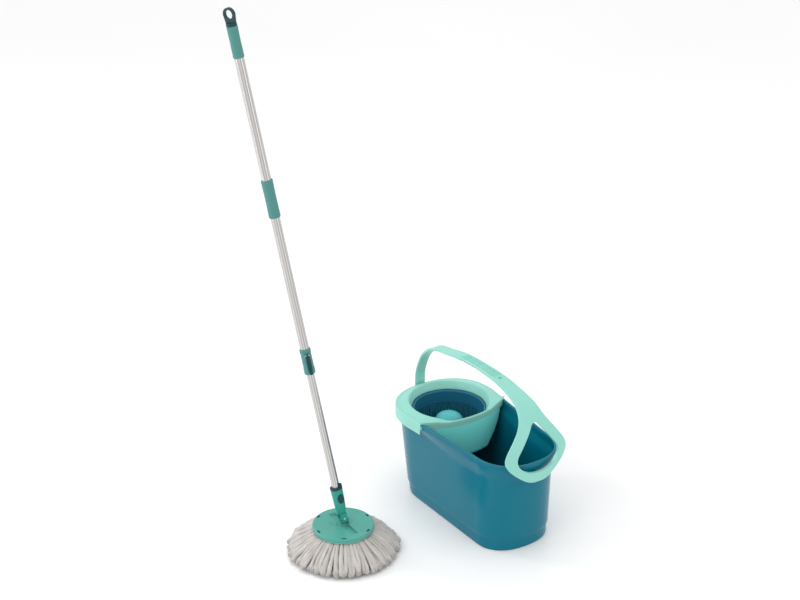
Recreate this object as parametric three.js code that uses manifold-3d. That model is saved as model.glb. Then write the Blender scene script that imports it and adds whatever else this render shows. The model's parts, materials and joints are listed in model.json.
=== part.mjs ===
// Spin mop set: a telescopic spin mop standing beside its wringing bucket.
// Millimetres, +Z up. The set stands on z = 0 and is centred over the origin.
//
// The bucket is drawn about the axle of its spin basket, with +X towards the
// pouring end. The mop is drawn about the middle of its head; its stem is a
// group leaning at the two pins of the head joint, drawn along its own +Z.

import * as THREE from "three";
import { mergeVertices } from "three/addons/utils/BufferGeometryUtils.js";
import Module from "manifold-3d";

const wasm = await Module();
wasm.setup();

// ---------- driving dimensions ----------

const GAP = 0.3; // between pieces that touch or run on each other
const WALL = 2.4; // moulded wall of the bucket and its insert

const BUCKET_HEIGHT = 251;
const NEAR_X = 265; // where the pouring end's curve starts
const END_POWER = 2.3; // superellipse power of both ends
const BASE = { farDepth: 85, farHalf: 105, nearHalf: 101, nearDepth: 81 };
const SHOULDER = { farDepth: 117, farHalf: 123, nearHalf: 102, nearDepth: 93 };
const RIM = { farDepth: 124, farHalf: 133, nearHalf: 109, nearDepth: 104 };
const FOOT_Z = 34; // top of the inset foot band
const SHOULDER_Z = 222; // where the wall flares out to the rim
const RIM_Z = 240;

const DECK_Z = 254; // top of the insert's deck
const SKIRT_Z = 221; // lower edge of the insert's outer skirt
const SKIRT_OUT = 3; // how far the skirt stands outside the rim
const BOWL_Z = 136; // underside of the insert's bowl
const APRON_X = 100; // the deck's front edge on the centre line
const APRON_R = 235; // its curve in plan
const OPENING_R = 95.5;
const FUNNEL_R = 107.5;
const CREST_Z = 258; // raised lip between the funnel and the deck
const OPENING_Z = 240;
const BOSS_TOP_Z = 147;

const BASKET_R = 93;
const BASKET_TOP_Z = 237.4;
const BASKET_FLOOR_Z = 150;
const HUB_TOP_Z = 184;
const AXLE_R = 4;
const BUSH_R = 6.1;
const DOME_R = 37;
const DOME_TOP_Z = 219;
const SLOT_COUNT = 24;

const PIVOT_Z = 213; // the carry handle swings about this line
const PIVOT_R = 3.5;
const REAR_LEG_X = -135.6;
const FRONT_BAR_X = 379;
const REAR_BOSS = { root: -114, bore: -122 }; // x where a pin's boss and its bore start
const FRONT_BOSS = { root: 356, bore: 366 };
const HANDLE_BOW = 0.0015; // how much the loop wraps round the pouring end, per mm

const MOP_X = 109.1;
const MOP_Y = -387.9;
const PAD_TOP_Z = 60.7;
const DISC_R = 76;
const DISC_BOTTOM_Z = 65.3;
const DISC_TOP_Z = 75;
const CLIP_COUNT = 6;
const CLIP_R = 69.4;
const TRENCH_HALF = 9;

const FOLD_Z = 81; // head joint: lower pin, across the trench
const TILT_RISE = 9.5; // upper pin above the lower one
const FOLD_LEAN = THREE.MathUtils.degToRad(-9.22);
const TILT_LEAN = THREE.MathUtils.degToRad(6.83);
const PIN_R = 2.3;

// Heights along the stem, from the upper pin of the head joint.
const SOCKET_TOP = 80.5;
const BUTTON_S = 57;
const LOWER_TUBE = { from: 24.5, to: 646, r: 9.4 };
const NUT = { from: 636, to: 644 };
const HOUSING = { from: 391, to: 456, r: 13.5 };
const MIDDLE_TUBE = { from: 418, to: 846, r: 11 };
const MIDDLE_GRIP = { from: 786, to: 877, r: 14 };
const CONNECTOR = { from: 830, to: 862 };
const ANCHOR = { from: 866, to: 876 };
const UPPER_TUBE = { from: 846.6, to: 1234, r: 11 };
const UPPER_GRIP = { from: 1164, to: 1236, r: 13 };
const EYE_S = 1262.7;
const EYE_R = 15.2;
const EYE_HOLE_R = 10.5;
const EYE_TURN = 24; // degrees about the stem
const SPINDLE = { from: 572, to: 872, width: 6, thickness: 2 };
const SPINDLE_LEAD = 90; // one turn of the head for each 90 mm of pumping
const LEVER_PIVOT_S = 442;
const LEVER_PIVOT_X = 15.8;
const LEVER_EYE_R = 2.8;
const LOCK_TURN = -17; // degrees about the stem

const MINT = { color: 0x97d0bd, roughness: 0.42, metalness: 0 };
const TUB_TEAL = { color: 0x1f7286, roughness: 0.38, metalness: 0 };
const PETROL = { color: 0x20506c, roughness: 0.45, metalness: 0 };
const TURQUOISE = { color: 0x5ab4b4, roughness: 0.4, metalness: 0 };
const SEA_GREEN = { color: 0x54968c, roughness: 0.45, metalness: 0 };
const DISC_GREEN = { color: 0x5fafa0, roughness: 0.4, metalness: 0 };
const SOCKET_GREEN = { color: 0x329687, roughness: 0.4, metalness: 0 };
const DARK_TEAL = { color: 0x19505f, roughness: 0.4, metalness: 0 };
const STEEL = { color: 0xc9c9c6, roughness: 0.25, metalness: 0.9 };
const ALUMINIUM = { color: 0xcdc8c3, roughness: 0.35, metalness: 0.85 };
const STRAND_WHITE = { color: 0xcdc8c3, roughness: 0.95, metalness: 0 };
const BRASS = { color: 0xb08d48, roughness: 0.3, metalness: 0.85 };

// ---------- general geometry ----------

// A closed loft through rings of equal count, with a fan over each end.
function loft(rings) {
  const count = rings[0].length;
  const points = rings.flat();
  const index = [];
  for (let row = 0; row + 1 < rings.length; row += 1) {
    for (let i = 0; i < count; i += 1) {
      const a = row * count + i;
      const b = row * count + ((i + 1) % count);
      index.push(a, b, b + count, a, b + count, a + count);
    }
  }
  const last = (rings.length - 1) * count;
  const firstCentre = points.length;
  points.push(middle(rings[0]), middle(rings.at(-1)));
  for (let i = 0; i < count; i += 1) {
    const next = (i + 1) % count;
    index.push(firstCentre, next, i, firstCentre + 1, last + i, last + next);
  }
  const geometry = new THREE.BufferGeometry().setFromPoints(points);
  geometry.setIndex(index);
  return geometry;
}

function middle(ring) {
  const sum = new THREE.Vector3();
  ring.forEach((point) => sum.add(point));
  return sum.divideScalar(ring.length);
}

// Turned piece about +Z from [radius, z] points.
function turned(profile, segments = 28) {
  const points = profile.map(([r, z]) => new THREE.Vector2(r, z));
  return new THREE.LatheGeometry(points, segments).rotateX(Math.PI / 2);
}

function tube(from, to, outer, inner, segments = 24) {
  return turned([[inner, from], [outer, from], [outer, to], [inner, to], [inner, from]], segments);
}

function rod(from, to, r, segments = 20) {
  return turned([[0, from], [r, from], [r, to], [0, to]], segments);
}

function block(x0, x1, y0, y1, z0, z1) {
  const box = new THREE.BoxGeometry(x1 - x0, y1 - y0, z1 - z0);
  return box.translate((x0 + x1) / 2, (y0 + y1) / 2, (z0 + z1) / 2);
}

function shapeOf(points) {
  return new THREE.Shape(points.map(([x, y]) => new THREE.Vector2(x, y)));
}

function extrude(shape, from, to, curveSegments = 16) {
  const settings = { depth: to - from, bevelEnabled: false, curveSegments };
  return new THREE.ExtrudeGeometry(shape, settings).translate(0, 0, from);
}

// Stands a piece drawn along +Z along +X or +Y instead.
function alongX(geometry) {
  return geometry.rotateY(Math.PI / 2);
}

function alongY(geometry) {
  return geometry.rotateX(-Math.PI / 2);
}

// Closed geometry to a solid that can be joined and cut, faces outwards.
function solid(geometry) {
  const bare = geometry.clone();
  bare.deleteAttribute("normal");
  bare.deleteAttribute("uv");
  const merged = mergeVertices(bare, 1e-3);
  const vertProperties = new Float32Array(merged.attributes.position.array);
  const triVerts = realTriangles(merged.index.array);
  if (signedVolume(vertProperties, triVerts) < 0) {
    triVerts.reverse();
  }
  return new wasm.Manifold(new wasm.Mesh({ numProp: 3, vertProperties, triVerts }));
}

// Triangles that have three different corners after merging.
function realTriangles(index) {
  const kept = [];
  for (let i = 0; i < index.length; i += 3) {
    const [a, b, c] = index.slice(i, i + 3);
    if (a !== b && b !== c && c !== a) {
      kept.push(a, b, c);
    }
  }
  return new Uint32Array(kept);
}

function signedVolume(vertices, triangles) {
  const corner = (i) => new THREE.Vector3().fromArray(vertices, triangles[i] * 3);
  let volume = 0;
  for (let i = 0; i < triangles.length; i += 3) {
    volume += corner(i).dot(corner(i + 1).cross(corner(i + 2))) / 6;
  }
  return volume;
}

function geometryOf(body) {
  const mesh = body.getMesh();
  const geometry = new THREE.BufferGeometry();
  geometry.setAttribute("position", new THREE.BufferAttribute(mesh.vertProperties, 3));
  geometry.setIndex(new THREE.BufferAttribute(mesh.triVerts, 1));
  geometry.computeVertexNormals();
  return geometry;
}

function piece(name, body, finish) {
  const geometry = geometryOf(body instanceof THREE.BufferGeometry ? solid(body) : body);
  const mesh = new THREE.Mesh(geometry, new THREE.MeshStandardMaterial(finish));
  mesh.name = name;
  return mesh;
}

function group(...children) {
  return new THREE.Group().add(...children);
}

// ---------- bucket ----------

function mixed(a, b, t) {
  const blend = {};
  Object.keys(a).forEach((key) => {
    blend[key] = THREE.MathUtils.lerp(a[key], b[key], t);
  });
  return blend;
}

function wallAt(z) {
  return mixed(BASE, SHOULDER, z / SHOULDER_Z);
}

// Plan outline of the bucket at one height, anticlockwise from above.
function outline(size, z, inset = 0, steps = 14) {
  const points = [];
  for (let i = 0; i <= steps; i += 1) {
    const angle = Math.PI * (i / steps - 0.5);
    points.push(onEnd(NEAR_X, size.nearDepth - inset, size.nearHalf - inset, angle, z));
  }
  for (let i = 0; i <= steps; i += 1) {
    const angle = Math.PI * (i / steps + 0.5);
    points.push(onEnd(0, size.farDepth - inset, size.farHalf - inset, angle, z));
  }
  return points;
}

function onEnd(x, depth, half, angle, z) {
  const power = 2 / END_POWER;
  const c = Math.cos(angle);
  const s = Math.sin(angle);
  const along = Math.sign(c) * Math.abs(c) ** power;
  const across = Math.sign(s) * Math.abs(s) ** power;
  return new THREE.Vector3(x + depth * along, half * across, z);
}

// A blind socket for a swing pin: a boss outside the wall, bored from its end.
function pivotBoss(inner, outer) {
  const low = Math.min(inner, outer);
  const high = Math.max(inner, outer);
  return solid(alongX(rod(low, high, 7.5)).translate(0, 0, PIVOT_Z));
}

function pivotBore(from, to) {
  const low = Math.min(from, to);
  const high = Math.max(from, to);
  return solid(alongX(rod(low, high, PIVOT_R + GAP)).translate(0, 0, PIVOT_Z));
}

function bucketTub() {
  const rings = [
    outline(BASE, 0, 6),
    outline(BASE, 4, 2.5),
    outline(wallAt(FOOT_Z), FOOT_Z - 2, 2.5),
    outline(wallAt(FOOT_Z), FOOT_Z, 0),
    outline(SHOULDER, SHOULDER_Z, 0),
    outline(RIM, RIM_Z, 0),
    outline(RIM, BUCKET_HEIGHT - 2, 0),
    outline(RIM, BUCKET_HEIGHT, 2),
    outline(RIM, BUCKET_HEIGHT, 4.5),
    outline(RIM, RIM_Z, 5),
    outline(SHOULDER, SHOULDER_Z, WALL),
    outline(wallAt(FOOT_Z), FOOT_Z, WALL),
    outline(wallAt(FOOT_Z), FOOT_Z - 4, 2.5 + WALL),
    outline(BASE, 3, 2.5 + WALL),
  ];
  return solid(loft(rings))
    .add(pivotBoss(REAR_BOSS.root, REAR_LEG_X + 3))
    .add(pivotBoss(FRONT_BOSS.root, FRONT_BAR_X - 5))
    .subtract(pivotBore(REAR_BOSS.bore, REAR_LEG_X))
    .subtract(pivotBore(FRONT_BOSS.bore, FRONT_BAR_X));
}

// Everything behind the deck's curved front edge.
function behindApron(inset = 0) {
  const reach = 200;
  const r = APRON_R - inset;
  const points = [];
  for (let i = -8; i <= 8; i += 1) {
    const y = (i / 8) * 145;
    points.push([APRON_X - APRON_R + Math.sqrt(r * r - y * y), y]);
  }
  points.push([-reach, 145], [-reach, -145]);
  return solid(extrude(shapeOf(points), 100, 300));
}

function bowlBody(inset, floorZ, topZ) {
  return solid(loft([
    outline(wallAt(floorZ), floorZ, 14 + inset),
    outline(wallAt(floorZ), floorZ + 3, 8 + inset),
    outline(wallAt(floorZ), floorZ + 10, 4.4 + inset),
    outline(SHOULDER, SHOULDER_Z, 4.4 + inset),
    outline(SHOULDER, topZ, 4.4 + inset),
  ]));
}

function funnelRing() {
  return solid(turned([
    [OPENING_R, OPENING_Z - 2], [OPENING_R + WALL, OPENING_Z - 2],
    [OPENING_R + WALL, OPENING_Z - 0.5], [FUNNEL_R - 1, DECK_Z - 2.4],
    [FUNNEL_R + 1, DECK_Z - 2.4], [FUNNEL_R + 1, CREST_Z - 1.5], [FUNNEL_R - 1.5, CREST_Z],
    [FUNNEL_R - 4.5, CREST_Z - 0.8], [OPENING_R, OPENING_Z], [OPENING_R, OPENING_Z - 2],
  ], 36));
}

function drainHoles(body) {
  let drained = body;
  for (let i = 0; i < 8; i += 1) {
    const angle = ((i + 0.5) * Math.PI) / 4;
    const hole = rod(BOWL_Z - 2, BOWL_Z + 5, 5, 10);
    hole.translate(55 * Math.cos(angle), 55 * Math.sin(angle), 0);
    drained = drained.subtract(solid(hole));
  }
  return drained;
}

function wringerInsert() {
  const rimSpace = solid(loft([
    outline(RIM, SKIRT_Z - 5, -0.4),
    outline(RIM, BUCKET_HEIGHT + GAP, -0.4),
  ]));
  const deck = solid(loft([
    outline(RIM, SKIRT_Z, -SKIRT_OUT),
    outline(RIM, DECK_Z - 4, -SKIRT_OUT),
    outline(RIM, DECK_Z - 1.2, 1 - SKIRT_OUT),
    outline(RIM, DECK_Z, 4 - SKIRT_OUT),
  ])).subtract(rimSpace);
  const throat = solid(rod(OPENING_Z - 10, CREST_Z + 5, FUNNEL_R, 36));
  const bowl = bowlBody(0, BOWL_Z, DECK_Z - 1);
  const inside = bowlBody(WALL, BOWL_Z + WALL, BUCKET_HEIGHT + GAP)
    .intersect(behindApron(WALL));
  const body = deck.add(bowl).subtract(inside).subtract(throat);
  const whole = body.add(funnelRing()).intersect(behindApron());
  const boss = solid(rod(BOWL_Z + 1, BOSS_TOP_Z, 13));
  const bore = solid(rod(BOWL_Z + 5, BOSS_TOP_Z + 5, AXLE_R + GAP));
  return drainHoles(whole).add(boss).subtract(bore);
}

function spinBasket() {
  const shell = solid(turned([
    [BUSH_R + GAP, BASKET_FLOOR_Z], [89, BASKET_FLOOR_Z], [91, 154],
    [BASKET_R - 1, 232], [BASKET_R + 1.5, 233.5], [BASKET_R + 1.5, BASKET_TOP_Z],
    [BASKET_R - 2.5, BASKET_TOP_Z], [88.8, 155], [87.5, BASKET_FLOOR_Z + WALL],
    [9, BASKET_FLOOR_Z + WALL], [9, HUB_TOP_Z], [BUSH_R + GAP, HUB_TOP_Z],
    [BUSH_R + GAP, BASKET_FLOOR_Z],
  ], 48));
  let slotted = shell;
  for (let i = 0; i < SLOT_COUNT / 2; i += 1) {
    const slots = block(-100, 100, -2.5, 2.5, 160, 196);
    const middleBar = block(-60, 60, -4, 4, 150, 200);
    const pair = solid(slots).subtract(solid(middleBar));
    slotted = slotted.subtract(pair.rotate([0, 0, (360 * i) / SLOT_COUNT]));
  }
  return slotted;
}

function hubDome() {
  const foot = BASKET_FLOOR_Z + WALL + GAP;
  return turned([
    [0, DOME_TOP_Z - 2], [22, 214], [31, 208], [DOME_R - 2, 198], [DOME_R - 2, foot],
    [DOME_R, foot], [DOME_R, 199], [32.5, 209.5], [23, 216], [12, 218.4], [0, DOME_TOP_Z],
  ], 32);
}

function axleParts() {
  const washer = tube(BOSS_TOP_Z + GAP, BASKET_FLOOR_Z - 2 * GAP, 10, AXLE_R + GAP);
  const bush = tube(BASKET_FLOOR_Z - GAP, HUB_TOP_Z + 1.5, BUSH_R, AXLE_R + GAP);
  const clip = tube(HUB_TOP_Z + 1.9, HUB_TOP_Z + 3.4, 8, AXLE_R + GAP);
  return [
    piece("basket_axle", rod(BOWL_Z + 5 + GAP, HUB_TOP_Z + 8, AXLE_R), STEEL),
    piece("thrust_washer", washer, BRASS),
    piece("axle_bush", bush, BRASS),
    piece("axle_clip", clip, STEEL),
  ];
}

// ---------- carry handle ----------

// Middle line of the strap over the bucket: [x, z, half width, thickness].
const STRAP = [
  [REAR_LEG_X, 198, 8, 4],
  [REAR_LEG_X, 202, 13, 5],
  [REAR_LEG_X, 210, 15, 5],
  [REAR_LEG_X, 262, 15, 5.5],
  [-133, 286, 15, 6],
  [-123, 314, 15, 7],
  [-108, 342, 15, 8],
  [-84, 366, 15, 9],
  [-50, 384, 15.5, 9],
  [-6, 393, 16, 9],
  [58, 405, 17, 10],
  [125, 410, 17, 10],
  [190, 410.5, 18, 10],
  [240, 406, 20, 9],
  [286, 396, 23, 8],
  [320, 383, 28, 8],
  [343, 363, 35, 8],
  [358, 342, 48, 8],
  [368, 318, 66, 8],
  [375, 292, 84, 8],
  [378, 272, 90, 8],
  [FRONT_BAR_X, 252, 81, 8],
  [FRONT_BAR_X, 234, 64, 8],
  [FRONT_BAR_X, 216, 42, 8],
  [FRONT_BAR_X, 205, 18, 8],
];
const STRAP_SPAN = 8; // facets across the strap

function strapRing([x, z, half, thickness], before, after) {
  const run = new THREE.Vector2(after[0] - before[0], after[1] - before[1]).normalize();
  const ring = [];
  const side = (sign) => {
    for (let i = 0; i <= STRAP_SPAN; i += 1) {
      const u = sign * (1 - (2 * i) / STRAP_SPAN);
      const edge = Math.abs(u) === 1 ? 0.5 : 1;
      const lift = (sign * edge * thickness) / 2;
      const y = u * half;
      const bow = HANDLE_BOW * y * y;
      ring.push(new THREE.Vector3(x - run.y * lift - bow, y, z + run.x * lift));
    }
  };
  side(1);
  side(-1);
  return ring;
}

function strapBody() {
  return solid(loft(STRAP.map((station, i) => {
    const before = STRAP[Math.max(i - 1, 0)];
    const after = STRAP[Math.min(i + 1, STRAP.length - 1)];
    return strapRing(station, before, after);
  })));
}

// The rounded triangle that a hand reaches through, drawn as [y, z].
function loopHole() {
  const hole = new THREE.Shape();
  hole.moveTo(-12, 346);
  hole.quadraticCurveTo(0, 363, 12, 346);
  hole.lineTo(56, 288);
  hole.quadraticCurveTo(67, 270, 54, 254);
  hole.quadraticCurveTo(36, 231, 0, 231);
  hole.quadraticCurveTo(-36, 231, -54, 254);
  hole.quadraticCurveTo(-67, 270, -56, 288);
  hole.closePath();
  const prism = extrude(hole, 0, 90, 6);
  prism.rotateX(Math.PI / 2).rotateZ(Math.PI / 2);
  return solid(prism.translate(330, 0, 0));
}

function carryHandle() {
  return strapBody()
    .subtract(loopHole())
    .subtract(pivotBore(REAR_LEG_X - 1, REAR_LEG_X + 6))
    .subtract(pivotBore(FRONT_BAR_X - 8, FRONT_BAR_X + 1));
}

function pivotPin(from, to) {
  return alongX(rod(from, to, PIVOT_R)).translate(0, 0, PIVOT_Z);
}

function bucket() {
  const [axle, washer, bush, clip] = axleParts();
  return group(
    piece("bucket_tub", bucketTub(), TUB_TEAL),
    piece("wringer_insert", wringerInsert(), MINT),
    axle,
    washer,
    clip,
    piece("handle_pin_rear", pivotPin(REAR_LEG_X - 0.7, REAR_BOSS.bore - GAP), STEEL),
    piece("handle_pin_front", pivotPin(FRONT_BOSS.bore + GAP, FRONT_BAR_X + 0.7), STEEL),
    piece("spin_basket", spinBasket(), PETROL),
    piece("hub_dome", hubDome(), TURQUOISE),
    bush,
    piece("carry_handle", carryHandle(), MINT),
  );
}

// ---------- mop head ----------

function strandSkirt() {
  return turned([
    [0, 0], [131, 0], [136, 4], [137.6, 12], [133, 24], [118, 36.5], [99, 47],
    [83, 55.5], [75, PAD_TOP_Z], [0, PAD_TOP_Z],
  ], 32);
}

function aroundHead(index) {
  return ((index + 0.5) * 2 * Math.PI) / CLIP_COUNT;
}

function padRing() {
  let ring = solid(tube(PAD_TOP_Z + GAP, DISC_BOTTOM_Z - GAP, 72.6, 46, 32));
  for (let i = 0; i < CLIP_COUNT; i += 1) {
    const clip = block(CLIP_R - 1.6, CLIP_R + 1.6, -4.5, 4.5, 63, DISC_TOP_Z - 0.6);
    ring = ring.add(solid(clip.rotateZ(aroundHead(i))));
  }
  return ring;
}

// A hinge ear in the XZ plane: an upright tab with a round top at the pin.
function earShape(r, footHalf, drop) {
  const ear = new THREE.Shape();
  ear.moveTo(-footHalf, -drop);
  ear.lineTo(footHalf, -drop);
  ear.lineTo(r, 0);
  ear.absarc(0, 0, r, 0, Math.PI, false);
  ear.closePath();
  return ear;
}

function discEar(side) {
  const near = TRENCH_HALF + 2.6;
  const ear = extrude(earShape(6.5, 11, 8), near, near + 3.8, 8);
  ear.rotateX(Math.PI / 2).translate(0, 0, FOLD_Z);
  return solid(side > 0 ? ear.rotateZ(Math.PI) : ear);
}

function headDisc() {
  const plate = solid(turned([
    [0, DISC_TOP_Z - 2.4], [73.4, DISC_TOP_Z - 2.4], [73.4, DISC_BOTTOM_Z],
    [75.4, DISC_BOTTOM_Z], [DISC_R, DISC_BOTTOM_Z + 1.5], [DISC_R, DISC_TOP_Z - 1.5],
    [DISC_R - 1.5, DISC_TOP_Z], [0, DISC_TOP_Z],
  ], 40));
  const trough = solid(block(-60, 60, -11.4, 11.4, 66.6, DISC_TOP_Z - 0.5));
  const trench = solid(block(-57.6, 57.6, -TRENCH_HALF, TRENCH_HALF, 69, DISC_TOP_Z + 2));
  let disc = plate.add(trough).subtract(trench).add(discEar(1)).add(discEar(-1));
  for (let i = 0; i < CLIP_COUNT; i += 1) {
    const slot = block(CLIP_R - 2.6, CLIP_R + 2.6, -5.6, 5.6, 70, DISC_TOP_Z + 2);
    disc = disc.subtract(solid(slot.rotateZ(aroundHead(i))));
  }
  const pinHole = alongY(rod(-20, 20, PIN_R + GAP)).translate(0, 0, FOLD_Z);
  return disc.subtract(solid(pinHole));
}

// Cross block of the head joint: a barrel on each pin and a neck between them.
function jointBlock() {
  const foldBarrel = solid(alongY(rod(-11.2, 11.2, 5.5)));
  const tiltBarrel = solid(alongX(rod(-5.7, 5.7, 5.5)).translate(0, 0, TILT_RISE));
  const neck = solid(block(-4, 4, -5, 5, 0, TILT_RISE));
  const foldHole = solid(alongY(rod(-15, 15, PIN_R + GAP)));
  const tiltHole = solid(alongX(rod(-15, 15, PIN_R + GAP)).translate(0, 0, TILT_RISE));
  return foldBarrel.add(tiltBarrel).add(neck).subtract(foldHole).subtract(tiltHole);
}

function mopHead() {
  const foldPin = alongY(rod(-16, 16, PIN_R)).translate(0, 0, FOLD_Z);
  return group(
    piece("strand_skirt", strandSkirt(), STRAND_WHITE),
    piece("pad_ring", padRing(), MINT),
    piece("head_disc", headDisc(), DISC_GREEN),
    piece("fold_pin", foldPin, STEEL),
  );
}

// ---------- stem, drawn from the upper pin ----------

function forkEar(side) {
  const ear = extrude(earShape(7, 9, 14), 6.1, 9.6, 8);
  ear.rotateY(Math.PI / 2).rotateX(-Math.PI / 2);
  return solid(side > 0 ? ear : ear.rotateZ(Math.PI));
}

function buttonShape(margin) {
  const oval = new THREE.Shape();
  oval.absellipse(0, 0, 12.6 + margin, 8.2 + margin, 0, 2 * Math.PI);
  return oval;
}

function buttonBody(margin, from, to) {
  return alongX(extrude(buttonShape(margin), from, to, 10)).translate(0, 0, BUTTON_S);
}

function handleSocket() {
  const shell = solid(turned([
    [0, 12], [9, 12], [12, 22], [13.6, 36], [15, SOCKET_TOP],
    [LOWER_TUBE.r + 0.4, SOCKET_TOP], [LOWER_TUBE.r + 0.4, 24], [0, 24],
  ], 28));
  const pinHole = solid(alongX(rod(-15, 15, PIN_R + GAP)));
  return shell
    .add(forkEar(1))
    .add(forkEar(-1))
    .subtract(pinHole)
    .subtract(solid(buttonBody(GAP, 11.3, 20)));
}

function socketCollar() {
  const ring = solid(tube(SOCKET_TOP + GAP, SOCKET_TOP + 5, 15.2, LOWER_TUBE.r + 0.5, 28));
  const tab = block(10.6, 14.4, -4, 4, SOCKET_TOP + 3, SOCKET_TOP + 16);
  return ring.add(solid(tab.rotateZ(0.6)));
}

function driveNut() {
  const slot = block(-3.5, 3.5, -2.2, 2.2, NUT.from - 2, NUT.to + 2);
  return solid(rod(NUT.from, NUT.to, LOWER_TUBE.r - 1.3)).subtract(solid(slot));
}

// Flat strip twisted at a constant lead, square to the nut where it crosses it.
function driveSpindle() {
  const steps = 72;
  const nutMiddle = (NUT.from + NUT.to) / 2;
  const rings = [];
  for (let i = 0; i <= steps; i += 1) {
    const s = THREE.MathUtils.lerp(SPINDLE.from, SPINDLE.to, i / steps);
    const turn = (2 * Math.PI * (s - nutMiddle)) / SPINDLE_LEAD;
    const corners = [[-1, -1], [1, -1], [1, 1], [-1, 1]];
    rings.push(corners.map(([u, v]) => {
      const corner = new THREE.Vector3((u * SPINDLE.width) / 2, (v * SPINDLE.thickness) / 2, s);
      return corner.applyAxisAngle(new THREE.Vector3(0, 0, 1), turn);
    }));
  }
  return loft(rings);
}

function spindleAnchor() {
  const turn = (2 * Math.PI * (ANCHOR.from - (NUT.from + NUT.to) / 2)) / SPINDLE_LEAD;
  const slot = block(-3.5, 3.5, -2.2, 2.2, ANCHOR.from - 2, ANCHOR.to - 2).rotateZ(turn);
  return solid(rod(ANCHOR.from, ANCHOR.to, 9.6)).subtract(solid(slot));
}

function lowerStem() {
  const r = LOWER_TUBE.r;
  return group(
    piece("handle_socket", handleSocket(), SOCKET_GREEN),
    piece("socket_collar", socketCollar(), DARK_TEAL),
    piece("release_button", buttonBody(0, 13.2, 15.4), DARK_TEAL),
    piece("lower_tube", tube(LOWER_TUBE.from, LOWER_TUBE.to, r, r - 1), ALUMINIUM),
    piece("drive_nut", driveNut(), BRASS),
    piece("tilt_pin", alongX(rod(-9.6, 9.6, PIN_R)), STEEL),
  );
}

// Housing of the length lock: sleeve seat, shoe window, tube seat and lever ears.
function lockHousing() {
  const { from, to, r } = HOUSING;
  const shell = solid(turned([
    [10.1, from], [r - 1, from], [r, from + 2], [r, to - 3], [12.4, to],
    [11.3, to], [11.3, MIDDLE_TUBE.from - GAP], [10.1, MIDDLE_TUBE.from - GAP],
    [10.1, from + 9], [12, from + 9], [12, from + 1.2], [10.1, from + 1.2], [10.1, from],
  ], 28));
  const ears = solid(block(11.6, 19, -8, 8, LEVER_PIVOT_S - 5, LEVER_PIVOT_S + 5));
  const leverSpace = solid(block(13.7, 25, -5.3, 5.3, LEVER_PIVOT_S - 8, LEVER_PIVOT_S + 8));
  const pinHole = alongY(rod(-10, 10, 1.8)).translate(LEVER_PIVOT_X, 0, LEVER_PIVOT_S);
  const eyeSpace = alongY(rod(-5.3, 5.3, LEVER_EYE_R + GAP)).translate(LEVER_PIVOT_X, 0, LEVER_PIVOT_S);
  const window = solid(block(8, 20, -4, 4, from + 12, from + 22));
  return shell.add(ears)
    .subtract(leverSpace)
    .subtract(solid(eyeSpace))
    .subtract(solid(pinHole))
    .subtract(window)
    .rotate([0, 0, LOCK_TURN]);
}

// Lever in side view, [x, s]: pivot eye at the top, pad on the shoe, thumb tab below.
function lockLever() {
  const { from } = HOUSING;
  const side = new THREE.Shape();
  side.moveTo(13.9, from + 8);
  side.lineTo(17.5, from + 2);
  side.lineTo(20.5, from + 3);
  side.lineTo(18.4, from + 16);
  side.lineTo(18.6, LEVER_PIVOT_S);
  side.absarc(LEVER_PIVOT_X, LEVER_PIVOT_S, LEVER_EYE_R, 0.3, 2.2, false);
  side.lineTo(13.9, LEVER_PIVOT_S);
  side.closePath();
  const body = extrude(side, -5, 5, 8);
  body.rotateX(Math.PI / 2);
  const pinHole = alongY(rod(-10, 10, 1.8)).translate(LEVER_PIVOT_X, 0, LEVER_PIVOT_S);
  return solid(body).subtract(solid(pinHole)).rotate([0, 0, LOCK_TURN]);
}

function clampShoe() {
  const shoe = block(10.4, 13.3, -3.6, 3.6, HOUSING.from + 12.4, HOUSING.from + 21.6);
  return solid(shoe).rotate([0, 0, LOCK_TURN]);
}

function middleGrip() {
  const { from, to, r } = MIDDLE_GRIP;
  const bore = MIDDLE_TUBE.r + GAP;
  return turned([
    [bore, from], [r - 1.2, from], [r, from + 4], [r - 0.6, (from + to) / 2],
    [r, to - 4], [r - 1.2, to], [bore, to], [bore, from],
  ]);
}

function upperGrip() {
  const { from, to, r } = UPPER_GRIP;
  const bore = UPPER_TUBE.r + GAP;
  return turned([
    [bore, from], [r - 1, from], [r, from + 3], [r, to - 1], [r - 0.6, to], [bore, to],
    [bore, from],
  ]);
}

function hangingEye() {
  const plug = solid(rod(UPPER_TUBE.to - 16, UPPER_GRIP.to + 2, UPPER_TUBE.r - 1.4));
  const flange = solid(rod(UPPER_GRIP.to + GAP, UPPER_GRIP.to + 7, 12.4, 24));
  const ring = new THREE.Shape();
  ring.moveTo(-11.6, UPPER_GRIP.to + 2 - EYE_S);
  ring.lineTo(11.6, UPPER_GRIP.to + 2 - EYE_S);
  ring.lineTo(EYE_R, 0);
  ring.absarc(0, 0, EYE_R, 0, Math.PI, false);
  ring.closePath();
  const loop = extrude(ring, -3.5, 3.5, 12).rotateX(Math.PI / 2).translate(0, 0, EYE_S);
  const hole = alongY(rod(-10, 10, EYE_HOLE_R, 20)).translate(0, 0, EYE_S);
  return plug.add(flange).add(solid(loop)).subtract(solid(hole)).rotate([0, 0, EYE_TURN]);
}

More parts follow.
